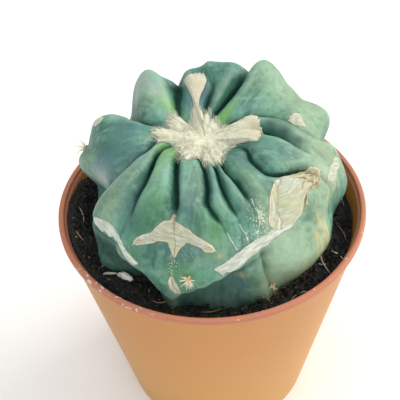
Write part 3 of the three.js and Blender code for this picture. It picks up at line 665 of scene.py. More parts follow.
def depth_inside(points, bearing, walk):
    """How far inside the outline each place lies, in millimetres; less than 0 outside."""
    xs, ys, x, y = chart(points, bearing, walk)
    near = np.full(x.shape, 1e3)
    inside = np.zeros(x.shape, bool)
    for ax, ay, bx, by in zip(xs, ys, np.roll(xs, -1), np.roll(ys, -1)):
        near = np.minimum(near, distance_to(ax, ay, bx, by, x, y))
        if ay != by:
            crosses = ((ay > y) != (by > y)) & (x < (bx - ax) * (y - ay) / (by - ay) + ax)
            inside ^= crosses
    return np.where(inside, near, -near)


def stain_or_painted_light(name, bearing, walk):
    """Strength of a soft stain or of painted light or shade at each place, from 0 to 1."""
    return np.clip(spots(STAINS_AND_PAINTED_LIGHT[name], bearing, walk), 0, 1)


def carry(mesh, name, values):
    """The mesh carries this value at each of its points."""
    layer = mesh.attributes.new(name, "FLOAT", "POINT")
    layer.data.foreach_set("value", np.asarray(values, np.float32).ravel())


def cloud_at(points, size, layers=3):
    """Cloudy noise between about -1 and 1 at each point, with clouds of this size."""
    flat = (points / size).reshape(-1, 3).tolist()
    values = [noise.fractal(p, 0.7, 2.0, layers) for p in flat]
    return np.array(values).reshape(points.shape[:-1])


walks = ((np.arange(SKIN_ROWS) + 1) / SKIN_ROWS) ** ROW_CROWDING * SKIN_END
crease_bearings, crease_depths = crease_row(walks)
bearing_parts, height_parts = [], []
for k, columns in enumerate(LOBE_COLUMNS):
    v = np.arange(columns) / columns
    u = (v - COLUMN_CROWDING * np.sin(2 * math.pi * v))[None, :] + np.zeros((SKIN_ROWS, 1))
    start, end = crease_bearings[k][:, None], crease_bearings[k + 1][:, None]
    bearing_parts.append(start + u * (end - start))
    height_parts.append(lobe_height(k, u, walks[:, None], crease_depths[:, :, None]))
bearings = np.hstack(bearing_parts)
walk_grid = walks[:, None] + 0 * bearings
heights = np.hstack(height_parts) + swell_at(bearings, walk_grid)

# how deep each place lies in a hollow: the mean height of the skin around it less its own
# the skin is painted darker in the hollows and lighter on the crests by this
HOLLOW_REACHES = (0.8, 1.6, 2.6)
outline_radius = np.maximum(outline_at(bearings, walk_grid)[0], 1.0)
hollows = np.zeros(bearings.shape)
for reach in HOLLOW_REACHES:
    aside = np.degrees(reach / outline_radius)
    sides = skin_height(bearings - aside, walk_grid) + skin_height(bearings + aside, walk_grid)
    above = skin_height(bearings, walk_grid - reach * 0.7)
    below = skin_height(bearings, walk_grid + reach * 0.7)
    hollows += ((sides + above + below) / 4 - heights) / len(HOLLOW_REACHES)

cork = np.full(bearings.shape, -9.0)
silver, light = np.zeros(bearings.shape), np.ones(bearings.shape)
fibre_way = np.zeros(bearings.shape + (3,))
for tone, brightness, lie, points in SCARS:
    depth = depth_inside(points, bearings, walk_grid)
    upper = depth > np.minimum(cork, 0)
    cork = np.maximum(cork, depth)
    x, y = chart(points, bearings, walk_grid)[2:]
    a = math.radians(lie)
    way_along = (x * math.cos(a) + y * math.sin(a)) * FIBRE_STRETCH
    way = np.stack([way_along, y * math.cos(a) - x * math.sin(a), 0 * x], axis=-1)
    silver = np.where(upper, tone, silver)
    light = np.where(upper, brightness, light)
    fibre_way = np.where(upper[..., None], way, fibre_way)

line_near, line_side = np.full(bearings.shape, 9.0), np.full(bearings.shape, 9.0)
line_kind = np.zeros(bearings.shape)
for kind, points in LINES:
    xs, ys, x, y = chart(points, bearings, walk_grid)
    for ax, ay, bx, by in zip(xs[:-1], ys[:-1], xs[1:], ys[1:]):
        away = distance_to(ax, ay, bx, by, x, y)
        across = ((x - ax) * (by - ay) - (y - ay) * (bx - ax)) / math.hypot(bx - ax, by - ay)
        line_side = np.where(away < line_near, across, line_side)
        line_kind = np.where(away < line_near, kind, line_kind)
        line_near = np.minimum(line_near, away)

plain = over_outline(bearings, walk_grid, heights)
turn = np.radians(bearings)
lengthwise = around(STREAK_RADIUS, turn, STREAK_STRETCH * walk_grid)
wrinkle = cloud_at(lengthwise, 1.3)
lump = cloud_at(plain, 4.0)
crinkle = cloud_at(plain, 0.9)
on_cork = ease((cork + 0.15) / 0.3)
pucker = cloud_at(fibre_way, 0.8)
groove = GROOVE_DEPTH * np.exp(-((cork / GROOVE_WIDTH) ** 2))
heights = heights + WRINKLE * wrinkle * (1 - on_cork) + LUMP * lump
heights += on_cork * (CORK_RISE + CRINKLE * crinkle + PUCKER * pucker) - groove
heights += np.where(line_kind == 1, -SLIT_DEPTH, SCRATCH_RISE) * np.exp(-((line_near / LINE_WIDTH) ** 2))
skin_rings = over_outline(bearings, walk_grid, heights)
skin_rings[-1, :, 2] = FOOT_HEIGHT
foot_turn = np.arctan2(skin_rings[-1, :, 1], skin_rings[-1, :, 0])


def crown_point(height):
    """The middle of the crown, this far out from the plain outline."""
    return over_outline(np.array(CROWN_BEARING), np.array(CROWN_WALK), np.array(height))


body_rings = np.concatenate([skin_rings, [around(PLUG_TOP_RADIUS, foot_turn, FOOT_HEIGHT)],
                             [around(PLUG_FOOT_RADIUS, foot_turn, FOOT_HEIGHT - PLUG_DEPTH)]])
body_mesh = ring_mesh("body", crown_point(0.0), body_rings, (0, 0, FOOT_HEIGHT - PLUG_DEPTH))


def on_body(values, crown, plug):
    """Values for every point of the body: the crown point, the skin, and the plug below it."""
    return np.concatenate([[crown], values.ravel(), np.full(2 * values.shape[1] + 1, plug)])


for name, values, beyond in (
    ("cork", cork, -9), ("silver_share", silver, 0), ("brightness", light, 1), ("line_near", line_near, 9),
    ("line_side", line_side, 9), ("line_kind", line_kind, 0), ("hollow", hollows, 0),
):
    carry(body_mesh, name, on_body(values, beyond, beyond))
for name in STAINS_AND_PAINTED_LIGHT:
    carry(body_mesh, name, on_body(stain_or_painted_light(name, bearings, walk_grid), 0, 1 if name == "under_edge_painted_shade" else 0))
for name, vectors in (("lengthwise", lengthwise), ("fibre_way", fibre_way)):
    below = np.zeros((2 * bearings.shape[1] + 1, 3))
    everywhere = np.concatenate([[(0, 0, 0)], vectors.reshape(-1, 3), below])
    layer = body_mesh.attributes.new(name, "FLOAT_VECTOR", "POINT")
    layer.data.foreach_set("vector", everywhere.astype(np.float32).ravel())

cactus_skin, pen = new_material("waxy_cactus_skin")
along = pen.read("lengthwise", "Vector")
streak = pen.noise(along, 1.1, 4.0)
fine_streak = pen.noise(along, 3.2, 3.0)
patch = pen.grain(7.0)
mottle = pen.grain(1.6, 4.0)
dust = pen.grain(0.45, 2.0)
hollow = pen.read("hollow")

# painted shade: the skin darker towards its foot, where it meets the soil
low = pen.node("ShaderNodeSeparateXYZ", {}, {"Vector": along}, "Z")
low = low.step(STREAK_STRETCH * 40.5, STREAK_STRETCH * SKIN_END)
stained = (pen.read("ochre") * (0.3 + pen.noise(along, 2.4, 5.0).step(0.38, 0.7) * 0.6)
           * (0.7 + dust * 0.4))
speck = pen.maths("MAXIMUM", pen.grain(0.7, 1.0).step(0.78, 0.81) * 0.45,
                  pen.grain(0.38, 1.0).step(0.58, 0.64) * pen.read("speckle"))
bloom = (patch * 0.6 + streak * 0.4).step(0.4, 0.6)
colour = layered(
    bloom.mix("376858", "5f9682"),
    (pen.grain(3.2, 3.0).step(0.5, 0.66) * 0.5, "44787a"),
    (mottle.step(0.45, 0.72) * 0.5, "8ab5a2"),
    (fine_streak.step(0.52, 0.75) * 0.2, "a3c4b4"),
    # painted light: paler hazy grey-green where the lobes are washed with light
    (pen.read("pale_painted_light") * (0.45 + patch * 0.6), "93a984"),
    (pen.grain(1.2, 5.0).step(0.5, 0.68) * 0.4, "3a6b5c"),
    # painted shade: darker green in and beside the creases
    (pen.read("deep_painted_shade") * (0.45 + mottle * 0.6), "2d6150"),
    (pen.read("blue_tint_and_painted_shade") * (0.5 + mottle * 0.7), "44687a"),
    # bluish tint, partly painted shade on the left lobes and shaded flanks
    (pen.read("fresh") * (0.65 + streak * 0.6), "5d9943"),
    # whitish waxy bloom, partly a painted highlight
    (pen.read("milky_bloom_and_highlight") * (0.4 + mottle * 0.9), "b3bfba"),
    # painted highlight on the crests and painted shade down in the creases
    (hollow.step(-0.05, -0.6) * 0.28, "a4c2ab"),
    (hollow.step(0.03, 0.8) * 0.8, "16423a"),
    # painted light: light sage green on lobes the lamps leave dim
    (pen.read("sage_painted_light") * (0.4 + mottle * 0.6), "accdac"),
    # painted shade in the folds and under the overhanging lobes
    (pen.read("fold_painted_shade") * 0.75, "1f4a3f"),
    # painted shade under the overhanging edge, down to the soil
    (pen.read("under_edge_painted_shade") * 0.75, "2c4240"),
    # painted shade near the soil
    (low * (0.35 + mottle * 0.6), "1f2f28"),
    (stained, "cdbf88"),
    (speck, "d3dcc2"),
)

cork = pen.read("cork") + (pen.grain(0.9, 4.0) - 0.5) * 0.45
inside = cork.step(-0.03, 0.06)
rind = cork.step(0.0, 0.1) * cork.step(0.35, 0.16)
fibre = pen.noise(pen.read("fibre_way", "Vector"), 2.2, 5.0)
cream = fibre.step(0.35, 0.68).mix("aaab8c", "d8d5c0")
silver = fibre.step(0.35, 0.68).mix("bfc6bd", "e3eae0")
silver_share = pen.read("silver_share")
cream_share = 1 - silver_share
cork_colour = layered(
    silver_share.mix(cream, silver),
    (pen.read("lilac") * 0.8, "b9c2c0"),
    (pen.read("olive") * 0.75, "b3b98d"),
    (mottle.step(0.5, 0.72) * 0.35 * cream_share, "c3a878"),
    ((1 - pen.read("brightness")) * 1.4, "8f9a7c"),
    (rind * 0.5 * cream_share, "ead9b4"),
)
crust_edge = cork.step(-0.2, -0.04) * cork.step(0.06, -0.02)
colour = inside.mix(layered(colour, (crust_edge * 0.3 * cream_share, "a98b5c")), cork_colour)

kind = pen.read("line_kind")
ragged = (pen.grain(0.6, 2.0) - 0.5) * 0.14
thin = (pen.maths("ABSOLUTE", pen.read("line_side")) + ragged).step(0.09, 0.03)
thin = thin * pen.read("line_near").step(0.45, 0.25)
white_line = thin * kind.step(0.3, 0.2) * pen.grain(0.8, 3.0).step(0.3, 0.42)
colour = layered(
    colour,
    (white_line * 0.85, "dfe4cf"),
    (thin * kind.step(0.3, 0.4) * kind.step(0.8, 0.6) * 0.55, "b0854f"),
    (thin * kind.step(0.8, 0.9) * 0.65, "56543c"),
)

height = streak * 0.4 + fine_streak * 0.3 + mottle * 0.2 + dust * 0.1 + inside * (fibre * 1.2 + 0.3)
pen.finish(colour, 0.4 + mottle * 0.14 + inside * 0.3, height, 0.16, {
    "Specular IOR Level": 0.4, "Subsurface Weight": 0.12,
    "Subsurface Radius": (0.4, 1.0, 0.5), "Subsurface Scale": 0.0012,
})
place("cactus_body", body_mesh, cactus_skin, "cactus_body")


# The soil is near-black crumbly peat, heaped lightly against the plant's foot and lower than
# the lip. Its top is rough all over and strewn with crumbs and dry straw.
SOIL_DROP = 5.0
SOIL_TOP = RIM_HEIGHT - SOIL_DROP
SOIL_COLUMNS = 420
SOIL_ROWS = 56
WALL_GAP = 0.1
PLUG_GAP = 0.3
SOIL_ROUND = 1.3
HEAP = 0.8
HEAP_WIDTH = 0.9
LEVEL_RISE = 0.3
# height, size and fineness of the soil's clods
CLODS = ((0.85, 2.6, 4), (0.45, 0.8, 3))
BANK_BEARING = 188
BANK_WIDTH = 42
BANK_RISE = 3.8
CRUMBS = 2200

soil_turn = np.linspace(0, 2 * math.pi, SOIL_COLUMNS, endpoint=False)
soil_edge = inner_wall(SOIL_TOP) - WALL_GAP


def foot_radius(turn):
    """How far from the pot's axis the plant's skin meets the soil."""
    order = np.argsort(foot_turn)
    reach = np.hypot(skin_rings[-1, :, 0], skin_rings[-1, :, 1])[order]
    return np.interp(turn, foot_turn[order], reach, period=2 * math.pi)


def bank_at(turn):
    """How far the soil is banked up against the pot's wall."""
    aside = (np.degrees(turn) - BANK_BEARING + 540) % 360 - 180
    return BANK_RISE * np.exp(-((aside / BANK_WIDTH) ** 2))


def soil_rise(x, y):
    """Height of the rough soil over its level: heaped at the plant's foot, banked up on one side."""
    spot = np.stack([x, y, SOIL_TOP + 0 * x], axis=-1)
    turn = np.arctan2(y, x)
    foot = np.minimum(foot_radius(turn), soil_edge - 1.0)
    away = np.hypot(x, y) - foot
    bank = bank_at(turn) * ease(away / (soil_edge - foot))
    rise = LEVEL_RISE
    for height, size, layers in CLODS:
        rise = rise + height * cloud_at(spot, size, layers)
    return rise + HEAP * np.exp(-np.clip(away, 0, 9) / HEAP_WIDTH) + bank


soil_foot = np.minimum(foot_radius(soil_turn), soil_edge - 1.0)
hole = PLUG_TOP_RADIUS + PLUG_GAP
wall_reach = inner_wall(SOIL_TOP + bank_at(soil_turn)) - WALL_GAP
top_rows = []
for share in np.linspace(0, 1, SOIL_ROWS):
    radius = hole + (soil_foot - 0.5 - hole) * min(share / 0.2, 1)
    if share > 0.2:
        radius = soil_foot - 0.5 + (wall_reach - soil_foot + 0.5) * (share - 0.2) / 0.8
    top_rows.append(around(radius, soil_turn, SOIL_TOP))
top_rows = np.array(top_rows)
from_foot = np.hypot(top_rows[..., 0], top_rows[..., 1]) - soil_foot
top_rows[..., 2] += ease((from_foot + 0.6) / 1.2) * soil_rise(top_rows[..., 0], top_rows[..., 1])
hole_floor = SOIL_TOP - PLUG_DEPTH - PLUG_GAP
soil_rings = np.concatenate([
    turned(np.array([(PLUG_FOOT_RADIUS + PLUG_GAP, hole_floor)]), SOIL_COLUMNS),
    top_rows,
    turned(np.array([(inner_wall(FLOOR + SOIL_ROUND) - PLUG_GAP, FLOOR + SOIL_ROUND),
                     (inner_wall(FLOOR) - SOIL_ROUND, FLOOR + PLUG_GAP)]), SOIL_COLUMNS),
])
soil_mesh = ring_mesh("soil", (0, 0, hole_floor), soil_rings, (0, 0, FLOOR + PLUG_GAP))

dark_peat, pen = new_material("dark_peat")
tone = pen.grain(1.1, 4.0)
colour = layered(
    tone.step(0.35, 0.75).mix("020302", "12140f"),
    (pen.grain(0.5, 2.0).step(0.68, 0.76) * 0.5, "5f4b30"),
    (pen.grain(0.3, 1.0).step(0.7, 0.76) * 0.6, "8b8a7c"),
)
pen.finish(colour, 0.55 + tone * 0.3, tone + pen.grain(0.35, 3.0), 0.3)
place("soil", soil_mesh, dark_peat, "soil")

shape = bmesh.new()
bmesh.ops.create_icosphere(shape, subdivisions=1, radius=1.0)
ball = np.array([v.co for v in shape.verts])
ball_faces = np.array([[v.index for v in f.verts] for f in shape.faces])
shape.free()


def lumps(name, centres, sizes, tones, draw):
    """Many small angular lumps in one mesh, each with its own shape, turn and tone."""
    count = len(centres)
    scale = sizes[:, None, None] * draw.uniform(0.55, 1.3, (count, len(ball), 1))
    stretch = draw.uniform(0.6, 1.25, (count, 1, 3))
    local = ball[None] * scale * stretch
    axis = draw.normal(size=(count, 3))
    axis /= np.linalg.norm(axis, axis=1, keepdims=True)
    angle = draw.uniform(0, 2 * math.pi, (count, 1, 1))
    pole = axis[:, None, :] + 0 * local
    spun = (local * np.cos(angle) + np.cross(pole, local) * np.sin(angle)
            + pole * np.sum(pole * local, axis=-1, keepdims=True) * (1 - np.cos(angle)))
    points = (spun + centres[:, None, :]).reshape(-1, 3) * MM
    faces = (ball_faces[None] + (np.arange(count) * len(ball))[:, None, None]).reshape(-1, 3)
    mesh = bpy.data.meshes.new(name)
    mesh.from_pydata(points.tolist(), [], faces.tolist())
    carry(mesh, "tone", np.repeat(tones, len(ball)))
    return mesh


def strands(name, paths, radii, sides=3):
    """Many thin tapered strands in one mesh; paths has the points of each, radii their size."""
    count, steps = paths.shape[:2]
    way = np.gradient(paths, axis=1)
    way /= np.linalg.norm(way, axis=-1, keepdims=True)
    handy = np.where(np.abs(way[..., 2:]) > 0.9, (1.0, 0.0, 0.0), (0.0, 0.0, 1.0))
    side = np.cross(way, handy)
    side /= np.linalg.norm(side, axis=-1, keepdims=True)
    rise = np.cross(way, side)
    turn = np.arange(sides) * 2 * math.pi / sides
    rings = (paths[:, :, None] + radii[:, :, None, None]
             * (side[:, :, None] * np.cos(turn)[:, None] - rise[:, :, None] * np.sin(turn)[:, None]))
    points = rings.reshape(-1, 3) * MM
    here = np.arange(count * steps * sides).reshape(count, steps, sides)
    beside = np.roll(here, -1, axis=2)
    walls = np.stack([here[:, :-1], beside[:, :-1], beside[:, 1:], here[:, 1:]], axis=-1).reshape(-1, 4)
    ends = np.concatenate([here[:, 0, ::-1], here[:, -1]])
    mesh = bpy.data.meshes.new(name)
    mesh.from_pydata(points.tolist(), [], walls.tolist() + ends.tolist())
    mesh.shade_smooth()
    return mesh


# dry straw and fibres on the soil: from x, y to x, y, thickness, tone
STRAWS = [
    (-22.1, -17.3, -19.5, -16.4, 0.3, 0.75), (-19.3, -16.7, -16.4, -18.9, 0.85, 1.0),
    (22.0, -11.3, 23.1, -18.1, 0.16, 0.7), (22.6, -15.7, 21.0, -15.6, 0.14, 0.7),
    (24.0, -12.8, 26.2, -14.6, 0.16, 0.8), (27.6, -9.0, 26.2, -5.2, 0.12, 0.5),
    (-28.6, 1.0, -27.2, -3.2, 0.14, 0.6), (-26.5, -9.6, -28.2, -7.2, 0.13, 0.5),
    (-12.5, -23.6, -8.6, -24.6, 0.12, 0.5), (14.5, -24.8, 18.2, -22.2, 0.12, 0.55),
    (27.6, 4.8, 28.6, 0.4, 0.13, 0.5), (-3.0, -26.8, 1.2, -26.4, 0.1, 0.4),
]
# light crumbs lying together: bearing, radius, spread along, spread across, count
CRUMB_DRIFTS = [
    (304, 24.9, 11, 0.35, 110), (186, 28.6, 14, 1.1, 20), (206, 26.6, 6, 1.0, 9),
    (322, 26.4, 14, 1.5, 24),
]
STRAW_STEPS = 7
STALK_SIDES = 6

draw = np.random.default_rng(11)
crumb_turn = draw.uniform(0, 2 * math.pi, CRUMBS)
crumb_foot = np.minimum(foot_radius(crumb_turn), soil_edge - 1.2)
crumb_radius = crumb_foot + (soil_edge - 0.4 - crumb_foot) * draw.uniform(0, 1, CRUMBS)
crumb_size = 0.1 + 0.55 * draw.uniform(0, 1, CRUMBS) ** 3
crumb_x, crumb_y = crumb_radius * np.cos(crumb_turn), crumb_radius * np.sin(crumb_turn)
crumb_z = SOIL_TOP + soil_rise(crumb_x, crumb_y) + crumb_size * 0.3
crumb_tone = draw.uniform(0, 1, CRUMBS) ** 9 * np.clip(1.3 - 1.4 * crumb_size, 0, 1)
crumb_places = np.stack([crumb_x, crumb_y, crumb_z], axis=-1)
for bearing, radius, along, across, count in CRUMB_DRIFTS:
    a = np.radians(bearing + draw.normal(0, along, count))
    r = np.maximum(radius + draw.normal(0, across, count), foot_radius(a) + draw.uniform(0.1, 0.9, count))
    r = np.minimum(r, soil_edge - 0.5)
    x, y = r * np.cos(a), r * np.sin(a)
    drift = np.stack([x, y, SOIL_TOP + soil_rise(x, y) + 0.1], axis=-1)
    crumb_places = np.vstack([crumb_places, drift])
    crumb_size = np.append(crumb_size, draw.uniform(0.07, 0.19, count))
    crumb_tone = np.append(crumb_tone, draw.uniform(0.45, 1, count))
crumb_mesh = lumps("crumbs", crumb_places, crumb_size, crumb_tone, draw)

crumb_peat, pen = new_material("peat_crumbs")
tone = pen.read("tone")
colour = layered(
    pen.grain(0.5).mix("030403", "16170f"),
    (tone.step(0.3, 0.6), "5a4428"), (tone.step(0.6, 0.9), "a89468"),
)
pen.finish(colour, 0.8, pen.grain(0.2, 4.0), 0.1)
place("soil_crumbs", crumb_mesh, crumb_peat, "soil")

straw_paths, straw_radii = [], []
share = np.linspace(0, 1, STRAW_STEPS)
for i, (x0, y0, x1, y1, thickness, tone) in enumerate(STRAWS):
    length = math.hypot(x1 - x0, y1 - y0)
    bow = 0.12 * length * math.sin(2.1 * i + 0.6) * np.sin(math.pi * share)
    x = x0 + (x1 - x0) * share + bow * (y0 - y1) / length
    y = y0 + (y1 - y0) * share + bow * (x1 - x0) / length
    z = SOIL_TOP + np.convolve(np.pad(soil_rise(x, y), 2, "edge"), np.full(5, 0.2), "valid") + 0.3
    straw_paths.append(np.stack([x, y, z + 0.2 * np.sin(math.pi * share)], axis=-1))
    straw_radii.append(thickness * (0.35 + 0.65 * np.sin(math.pi * (0.1 + 0.8 * share))))
straw_mesh = strands("straw", np.array(straw_paths), np.array(straw_radii), sides=STALK_SIDES)
carry(straw_mesh, "tone", np.repeat([row[5] for row in STRAWS], STRAW_STEPS * STALK_SIDES))
dry_straw, pen = new_material("dry_straw")
colour = pen.read("tone").step(0.4, 1.0).mix("8a6a3c", "e4e2d6")
colour = (pen.grain(0.8, 3.0).step(0.5, 0.7) * 0.5).mix(colour, "6b5536")
pen.finish(colour, 0.7, pen.grain(0.3, 3.0), 0.05)
place("soil_straw", straw_mesh, dry_straw, "soil")


# Dried fibres have curled away from the upper corner of the healed patch. They are thin and
# straw-coloured, and each still hangs on by its ends.
# bearing, walk and lift over the skin along each fibre
DRIED_FIBRES = [
    [(325.5, 24.3, 0.1), (330, 25.1, 0.3), (335, 25.4, 0.5), (337.5, 24.7, 0.5), (337, 23.4, 0.4),
     (335, 22.2, 0.3), (333, 21.7, 0.1)],
    [(327, 24.4, 0.1), (330.4, 24.5, 0.4), (334, 24.1, 0.5), (333.5, 23, 0.4), (329, 22.4, 0.1)],
    [(316, 26.8, 0.1), (319, 26, 0.3), (323, 25.1, 0.3), (327, 24.8, 0.3), (331, 25, 0.1)],
    [(324, 20.9, 0.1), (329.5, 21.1, 0.3), (333, 21.8, 0.4), (335.5, 22.9, 0.3), (335, 24.4, 0.1)],
    [(320, 20.2, 0.1), (325, 21.2, 0.3), (329, 22.6, 0.4), (331, 24, 0.3), (330, 25.2, 0.1)],
    [(322, 23.2, 0.1), (326, 22.9, 0.3), (330, 23.6, 0.4), (333, 25, 0.3), (331, 26, 0.1)],
]
FIBRE_STEPS = 22
FIBRE_RADIUS = 0.075

fibre_paths = []
for points in DRIED_FIBRES:
    for aside in (0.0, 0.35):
        rows = [(i, *p) for i, p in enumerate(points)]
        s = np.linspace(0, len(points) - 1, FIBRE_STEPS)
        bearing, walk, lift = [curve(rows, s, column) for column in (1, 2, 3)]
        bearing, walk = bearing + aside * np.sin(s * 1.7), walk + aside * np.cos(s * 1.3)
        fibre_paths.append(over_outline(bearing, walk, skin_height(bearing, walk) + lift))
fibre_radii = FIBRE_RADIUS * (0.45 + 0.55 * np.sin(math.pi * np.linspace(0.05, 0.95, FIBRE_STEPS)))
fibre_radii = np.tile(fibre_radii, (len(fibre_paths), 1))
fibre_mesh = strands("dried_fibres", np.array(fibre_paths), fibre_radii, sides=STALK_SIDES)
dry_fibre, pen = new_material("dried_fibre")
colour = pen.grain(1.0, 3.0).step(0.35, 0.65).mix("a98f62", "d6cba6")
pen.finish(colour, 0.7, pen.grain(0.3, 3.0), 0.03)
place("dried_fibres", fibre_mesh, dry_fibre, "cactus_body")


# The crown wool is a mat of cream felt that fills the hollow crown and runs out along the
# backs of four lobes, one arm high up the back. Fine hairs stand out of it all round.
# ends of the wool: bearing and walk, and the bearing that its fibres leave the crown by
WOOL_ENDS = [
    (-19, 10.5, -16), (-6, 10.9, -6), (8, 11.1, 4), (21, 11.2, 12), (32, 10.5, 18), (28, 8.2, 26),
    (30, 5.2, 30), (57, 4.8, 57), (79, 6.6, 79), (97.5, 8.4, 97.5), (96.5, 11, 98.5), (93, 13.6, 99),
    (88, 15.4, 99.5), (91, 17.6, 100), (96, 18.7, 101), (102, 18.6, 102), (104.5, 16.2, 102.5),
    (103.5, 13.2, 103), (104.5, 9.8, 104), (114, 6.6, 112), (121, 5.2, 121), (131, 4.6, 133),
    (129, 6.6, 136), (127, 8.8, 138), (137, 8.8, 140), (149, 8.6, 149), (158, 8, 158), (168, 8.8, 168),
    (178, 10.4, 178), (186, 9.8, 186), (194, 8.6, 194), (200, 6.4, 200), (219, 6.9, 219), (232, 8.4, 232),
    (246, 9.8, 246), (252, 8, 252), (260, 7, 260), (268, 9.3, 268), (276, 10, 276), (283, 9.5, 283),
    (292, 8.2, 292), (306, 5.4, 306), (322, 5, 322), (338, 5.6, 338), (341, 8.2, 343),
]
WOOL_COLUMNS = 420
WOOL_ROWS = 44
WOOL_THICK = 0.95
WOOL_SINK = 0.1
NECK_WALK = 8.5
HAIRS = 7600
HAIR_STEPS = 5


def nearby(step):
    """The step to another end of the wool, with its two bearings taken the short way round."""
    short = (step + 540) % 360 - 180
    return np.stack([short[..., 0], step[..., 1], short[..., 2]], axis=-1)


def wool_track(t, share):
    """Bearing and walk of the wool at this share of the way out to its edge."""
    ends = np.array(WOOL_ENDS, float)
    count = len(ends)
    i = np.floor(t).astype(int) % count
    u = t - np.floor(t)
    here = ends[i]
    before, after, beyond = [here + nearby(ends[(i + k) % count] - here) for k in (-1, 1, 2)]
    v = u[..., None]
    spot = 0.5 * (2 * here + (after - before) * v + (2 * before - 5 * here + 4 * after - beyond) * v**2
                  + (3 * here - before - 3 * after + beyond) * v**3)
    walk = spot[..., 1] * share
    past_neck = ease((walk - NECK_WALK) / np.maximum(spot[..., 1] - NECK_WALK, 1))
    bend = np.where(spot[..., 1] > NECK_WALK, past_neck, share)
    bearing = spot[..., 2] + (spot[..., 0] - spot[..., 2]) * bend
    return bearing, walk


def felted_at(bearing, walk):
    """1 on the two smooth arms of felt, at the back and on the right, and 0 on the fluffy wool."""
    way = (bearing + 40) % 360
    return ease((walk - 7) / 3) * np.where((way < 80) | ((way > 120) & (way < 150)), 1.0, 0.0)


def wool_seat(bearing, walk):
    """Height of the wool's underside: it spans narrow creases and follows the lobes."""
    spread = np.clip(40 / np.maximum(walk, 1), 2, 16)
    near = [skin_height(bearing + q * spread, walk) for q in (-1, -0.5, 0, 0.5, 1)]
    return 0.6 * np.max(near, axis=0) + 0.4 * near[2]


def wool_over(t, share, lift):
    """Points of the wool this far over its seat."""
    bearing, walk = wool_track(t, share)
    return over_outline(bearing, walk, wool_seat(bearing, walk) + lift)


t = np.linspace(0, len(WOOL_ENDS), WOOL_COLUMNS, endpoint=False)[None, :]
rows = (np.arange(WOOL_ROWS) + 1) / WOOL_ROWS
t_grid, row_grid = t + 0 * rows[:, None], rows[:, None] + 0 * t
ragged = 0.045 * np.sin(t_grid * 9.1 + 2 * np.sin(t_grid * 2.3)) + 0.03 * np.sin(t_grid * 23.7)
ragged *= 1 - 0.55 * felted_at(*wool_track(t_grid, row_grid))
share_grid = row_grid * (1 + ragged * np.clip((row_grid - 0.7) / 0.3, 0, 1))
flat_wool = wool_over(t_grid, share_grid, 0.0)
tuft = cloud_at(flat_wool, 1.5, 4)
lock = cloud_at(np.stack([t_grid * 1.5, share_grid * 2.0, 0 * t_grid], axis=-1), 0.35, 3)
wool_bearing, wool_walk = wool_track(t_grid, share_grid)
felted = felted_at(wool_bearing, wool_walk)
lock_rise = 0.14 * ease(wool_walk / 5) * (1 - 0.6 * felted)
thick = WOOL_THICK * (1 - row_grid**3) * (1 + 0.12 * tuft * (1 - felted)) + lock_rise * lock + 0.22
wool_top = wool_over(t_grid, share_grid, np.maximum(thick, 0.12))
wool_bottom = wool_over(t_grid, share_grid * 0.985, 0 * thick - WOOL_SINK)
wool_rings = np.concatenate([wool_top, wool_bottom[::-1][:-6:3]])
felted_rings = np.concatenate([felted, felted[::-1][:-6:3]])
wool_mesh = ring_mesh("wool", crown_point(WOOL_THICK + 0.3), wool_rings, crown_point(-0.2))
carry(wool_mesh, "felted", np.concatenate([[0], felted_rings.ravel(), [0]]))

cream_wool, pen = new_material("cream_wool")
tone = pen.grain(1.3, 4.0)
colour = tone.step(0.3, 0.7).mix("c3c3a4", "dadac7")
colour = (pen.read("felted") * (0.3 + pen.grain(3.0, 2.0) * 0.6)).mix(colour, "b9b094")
pen.finish(colour, 0.9, tone + pen.grain(0.25, 4.0), 0.12, {"Sheen Weight": 0.3, "Sheen Roughness": 0.6})
place("crown_wool", wool_mesh, cream_wool, "crown_wool")

draw = np.random.default_rng(5)
hair_t = draw.uniform(0, len(WOOL_ENDS), HAIRS)
hair_share = draw.uniform(0.12, 1.0, HAIRS) ** 0.6
hair_end = wool_track(hair_t, np.ones(HAIRS))[1]
hair_felt = felted_at(*wool_track(hair_t, hair_share))
hair_length = draw.uniform(0.9, 2.2, HAIRS) * np.where(hair_end > 10, 0.7, 1.0) * (1 - 0.85 * hair_felt)
lean = draw.normal(0, 0.35, HAIRS) * (1 + 5 * (1 - hair_share) ** 2)
rise = draw.uniform(0.05, 0.6, HAIRS) * (1.15 - hair_share)
along = np.linspace(0, 1, HAIR_STEPS)[None, :]
step_share = (hair_share[:, None]
              + along * hair_length[:, None] / hair_end[:, None] * (1 - 0.5 * rise[:, None]))
step_t = hair_t[:, None] + lean[:, None] * along * 0.9 * (0.3 + 0.7 * along)
body_lift = 0.2 + 0.9 * WOOL_THICK * np.clip(1 - np.minimum(step_share, 1) ** 3, 0, 1)
curl = 0.12 * np.sin(along * 5 + draw.uniform(0, 6, (HAIRS, 1)))
lift = body_lift - 0.3 * (1 - along) + rise[:, None] * hair_length[:, None] * 0.6 * along + curl * along
hair_paths = wool_over(step_t, step_share, lift)
hair_radii = np.linspace(0.036, 0.015, HAIR_STEPS)[None, :] * draw.uniform(0.8, 1.3, (HAIRS, 1))
hair_mesh = strands("hairs", hair_paths, hair_radii)

wool_hair, pen = new_material("wool_hairs")
colour = pen.grain(2.0, 3.0).mix("d2d1b8", "eaeada")
pen.finish(colour, 0.8, pen.grain(0.3), 0.02, {"Sheen Weight": 0.2})
place("wool_hairs", hair_mesh, wool_hair, "crown_wool")


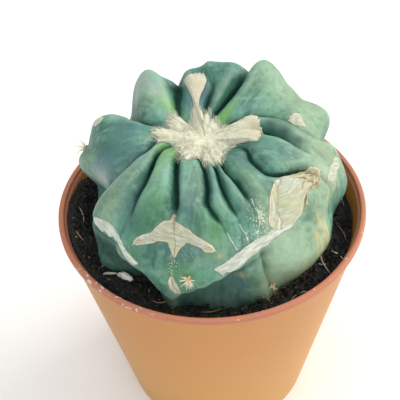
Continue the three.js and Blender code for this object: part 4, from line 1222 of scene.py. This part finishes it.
# The spines are few: short stiff ones stand round three old areoles low on the ribs, cream
# with red-brown bases, out of a small pad of tan felt.
# bearing, walk, count, length, how brown
TUFTS = [(261, 34.7, 22, 2.0, 0.9), (171, 27.6, 9, 2.8, 0.1), (296, 42, 4, 1.2, 0.5)]
SPINE_STEPS = 6
SPINE_BASE, SPINE_TIP = 0.16, 0.04
UPRIGHT, SPREAD = 0.45, 1.05
PAD_LUMPS = 26
PAD_SPREAD = 0.35
spine_paths, spine_radii, spine_tones = [], [], []
pad_centres, pad_sizes = [], []
draw = np.random.default_rng(3)
for bearing, walk, count, length, brown in TUFTS:
    b, w = np.array(float(bearing)), np.array(float(walk))
    height = skin_height(b, w)
    seat = over_outline(b, w, height)
    out = over_outline(b, w, height + 1) - seat
    out /= np.linalg.norm(out)
    side = np.cross((0, 0, 1), out)
    side /= np.linalg.norm(side)
    up = np.cross(out, side)
    for i in range(count):
        a = (i + 0.3 * math.sin(i * 5)) / count * 2 * math.pi
        tilt = UPRIGHT if i % 3 == 0 else SPREAD
        aim = out * math.cos(tilt) + (side * math.cos(a) + up * math.sin(a)) * math.sin(tilt)
        reach = length * (0.8 + 0.25 * math.cos(i * 2.4))
        s = np.linspace(-0.25, 1, SPINE_STEPS)[:, None]
        bow = np.cross(aim, out) * draw.uniform(-0.3, 0.3)
        spine_paths.append(seat + aim * reach * s + bow * s**2 + out * 0.15)
        spine_radii.append(np.linspace(SPINE_BASE, SPINE_TIP, SPINE_STEPS))
        spine_tones.append(np.repeat(brown * np.clip(0.75 - 1.6 * s[:, 0], 0, 1), STALK_SIDES))
    for _ in range(PAD_LUMPS):
        spot = side * draw.normal(0, PAD_SPREAD) + up * draw.normal(0, PAD_SPREAD)
        pad_centres.append(seat + spot + out * 0.1)
        pad_sizes.append(draw.uniform(0.14, 0.3))
spine_mesh = strands("spines", np.array(spine_paths), np.array(spine_radii), sides=STALK_SIDES)
carry(spine_mesh, "brown", np.concatenate(spine_tones))

spine_horn, pen = new_material("spine_horn")
colour = (pen.read("brown") * pen.grain(0.9).step(0.2, 0.6)).mix("efe8c8", "8a4a34")
pen.finish(colour, 0.45, pen.grain(0.3), 0.02)
place("spines", spine_mesh, spine_horn, "cactus_body")

pad_tones = np.zeros(len(pad_sizes))
pad_mesh = lumps("areole_felt", np.array(pad_centres), np.array(pad_sizes), pad_tones, draw)
areole_felt, pen = new_material("areole_felt")
colour = pen.grain(0.6).mix("a8825e", "ddcda6")
pen.finish(colour, 0.9, pen.grain(0.2, 4.0), 0.1, {"Sheen Weight": 0.3})
place("areole_felt", pad_mesh, areole_felt, "cactus_body")
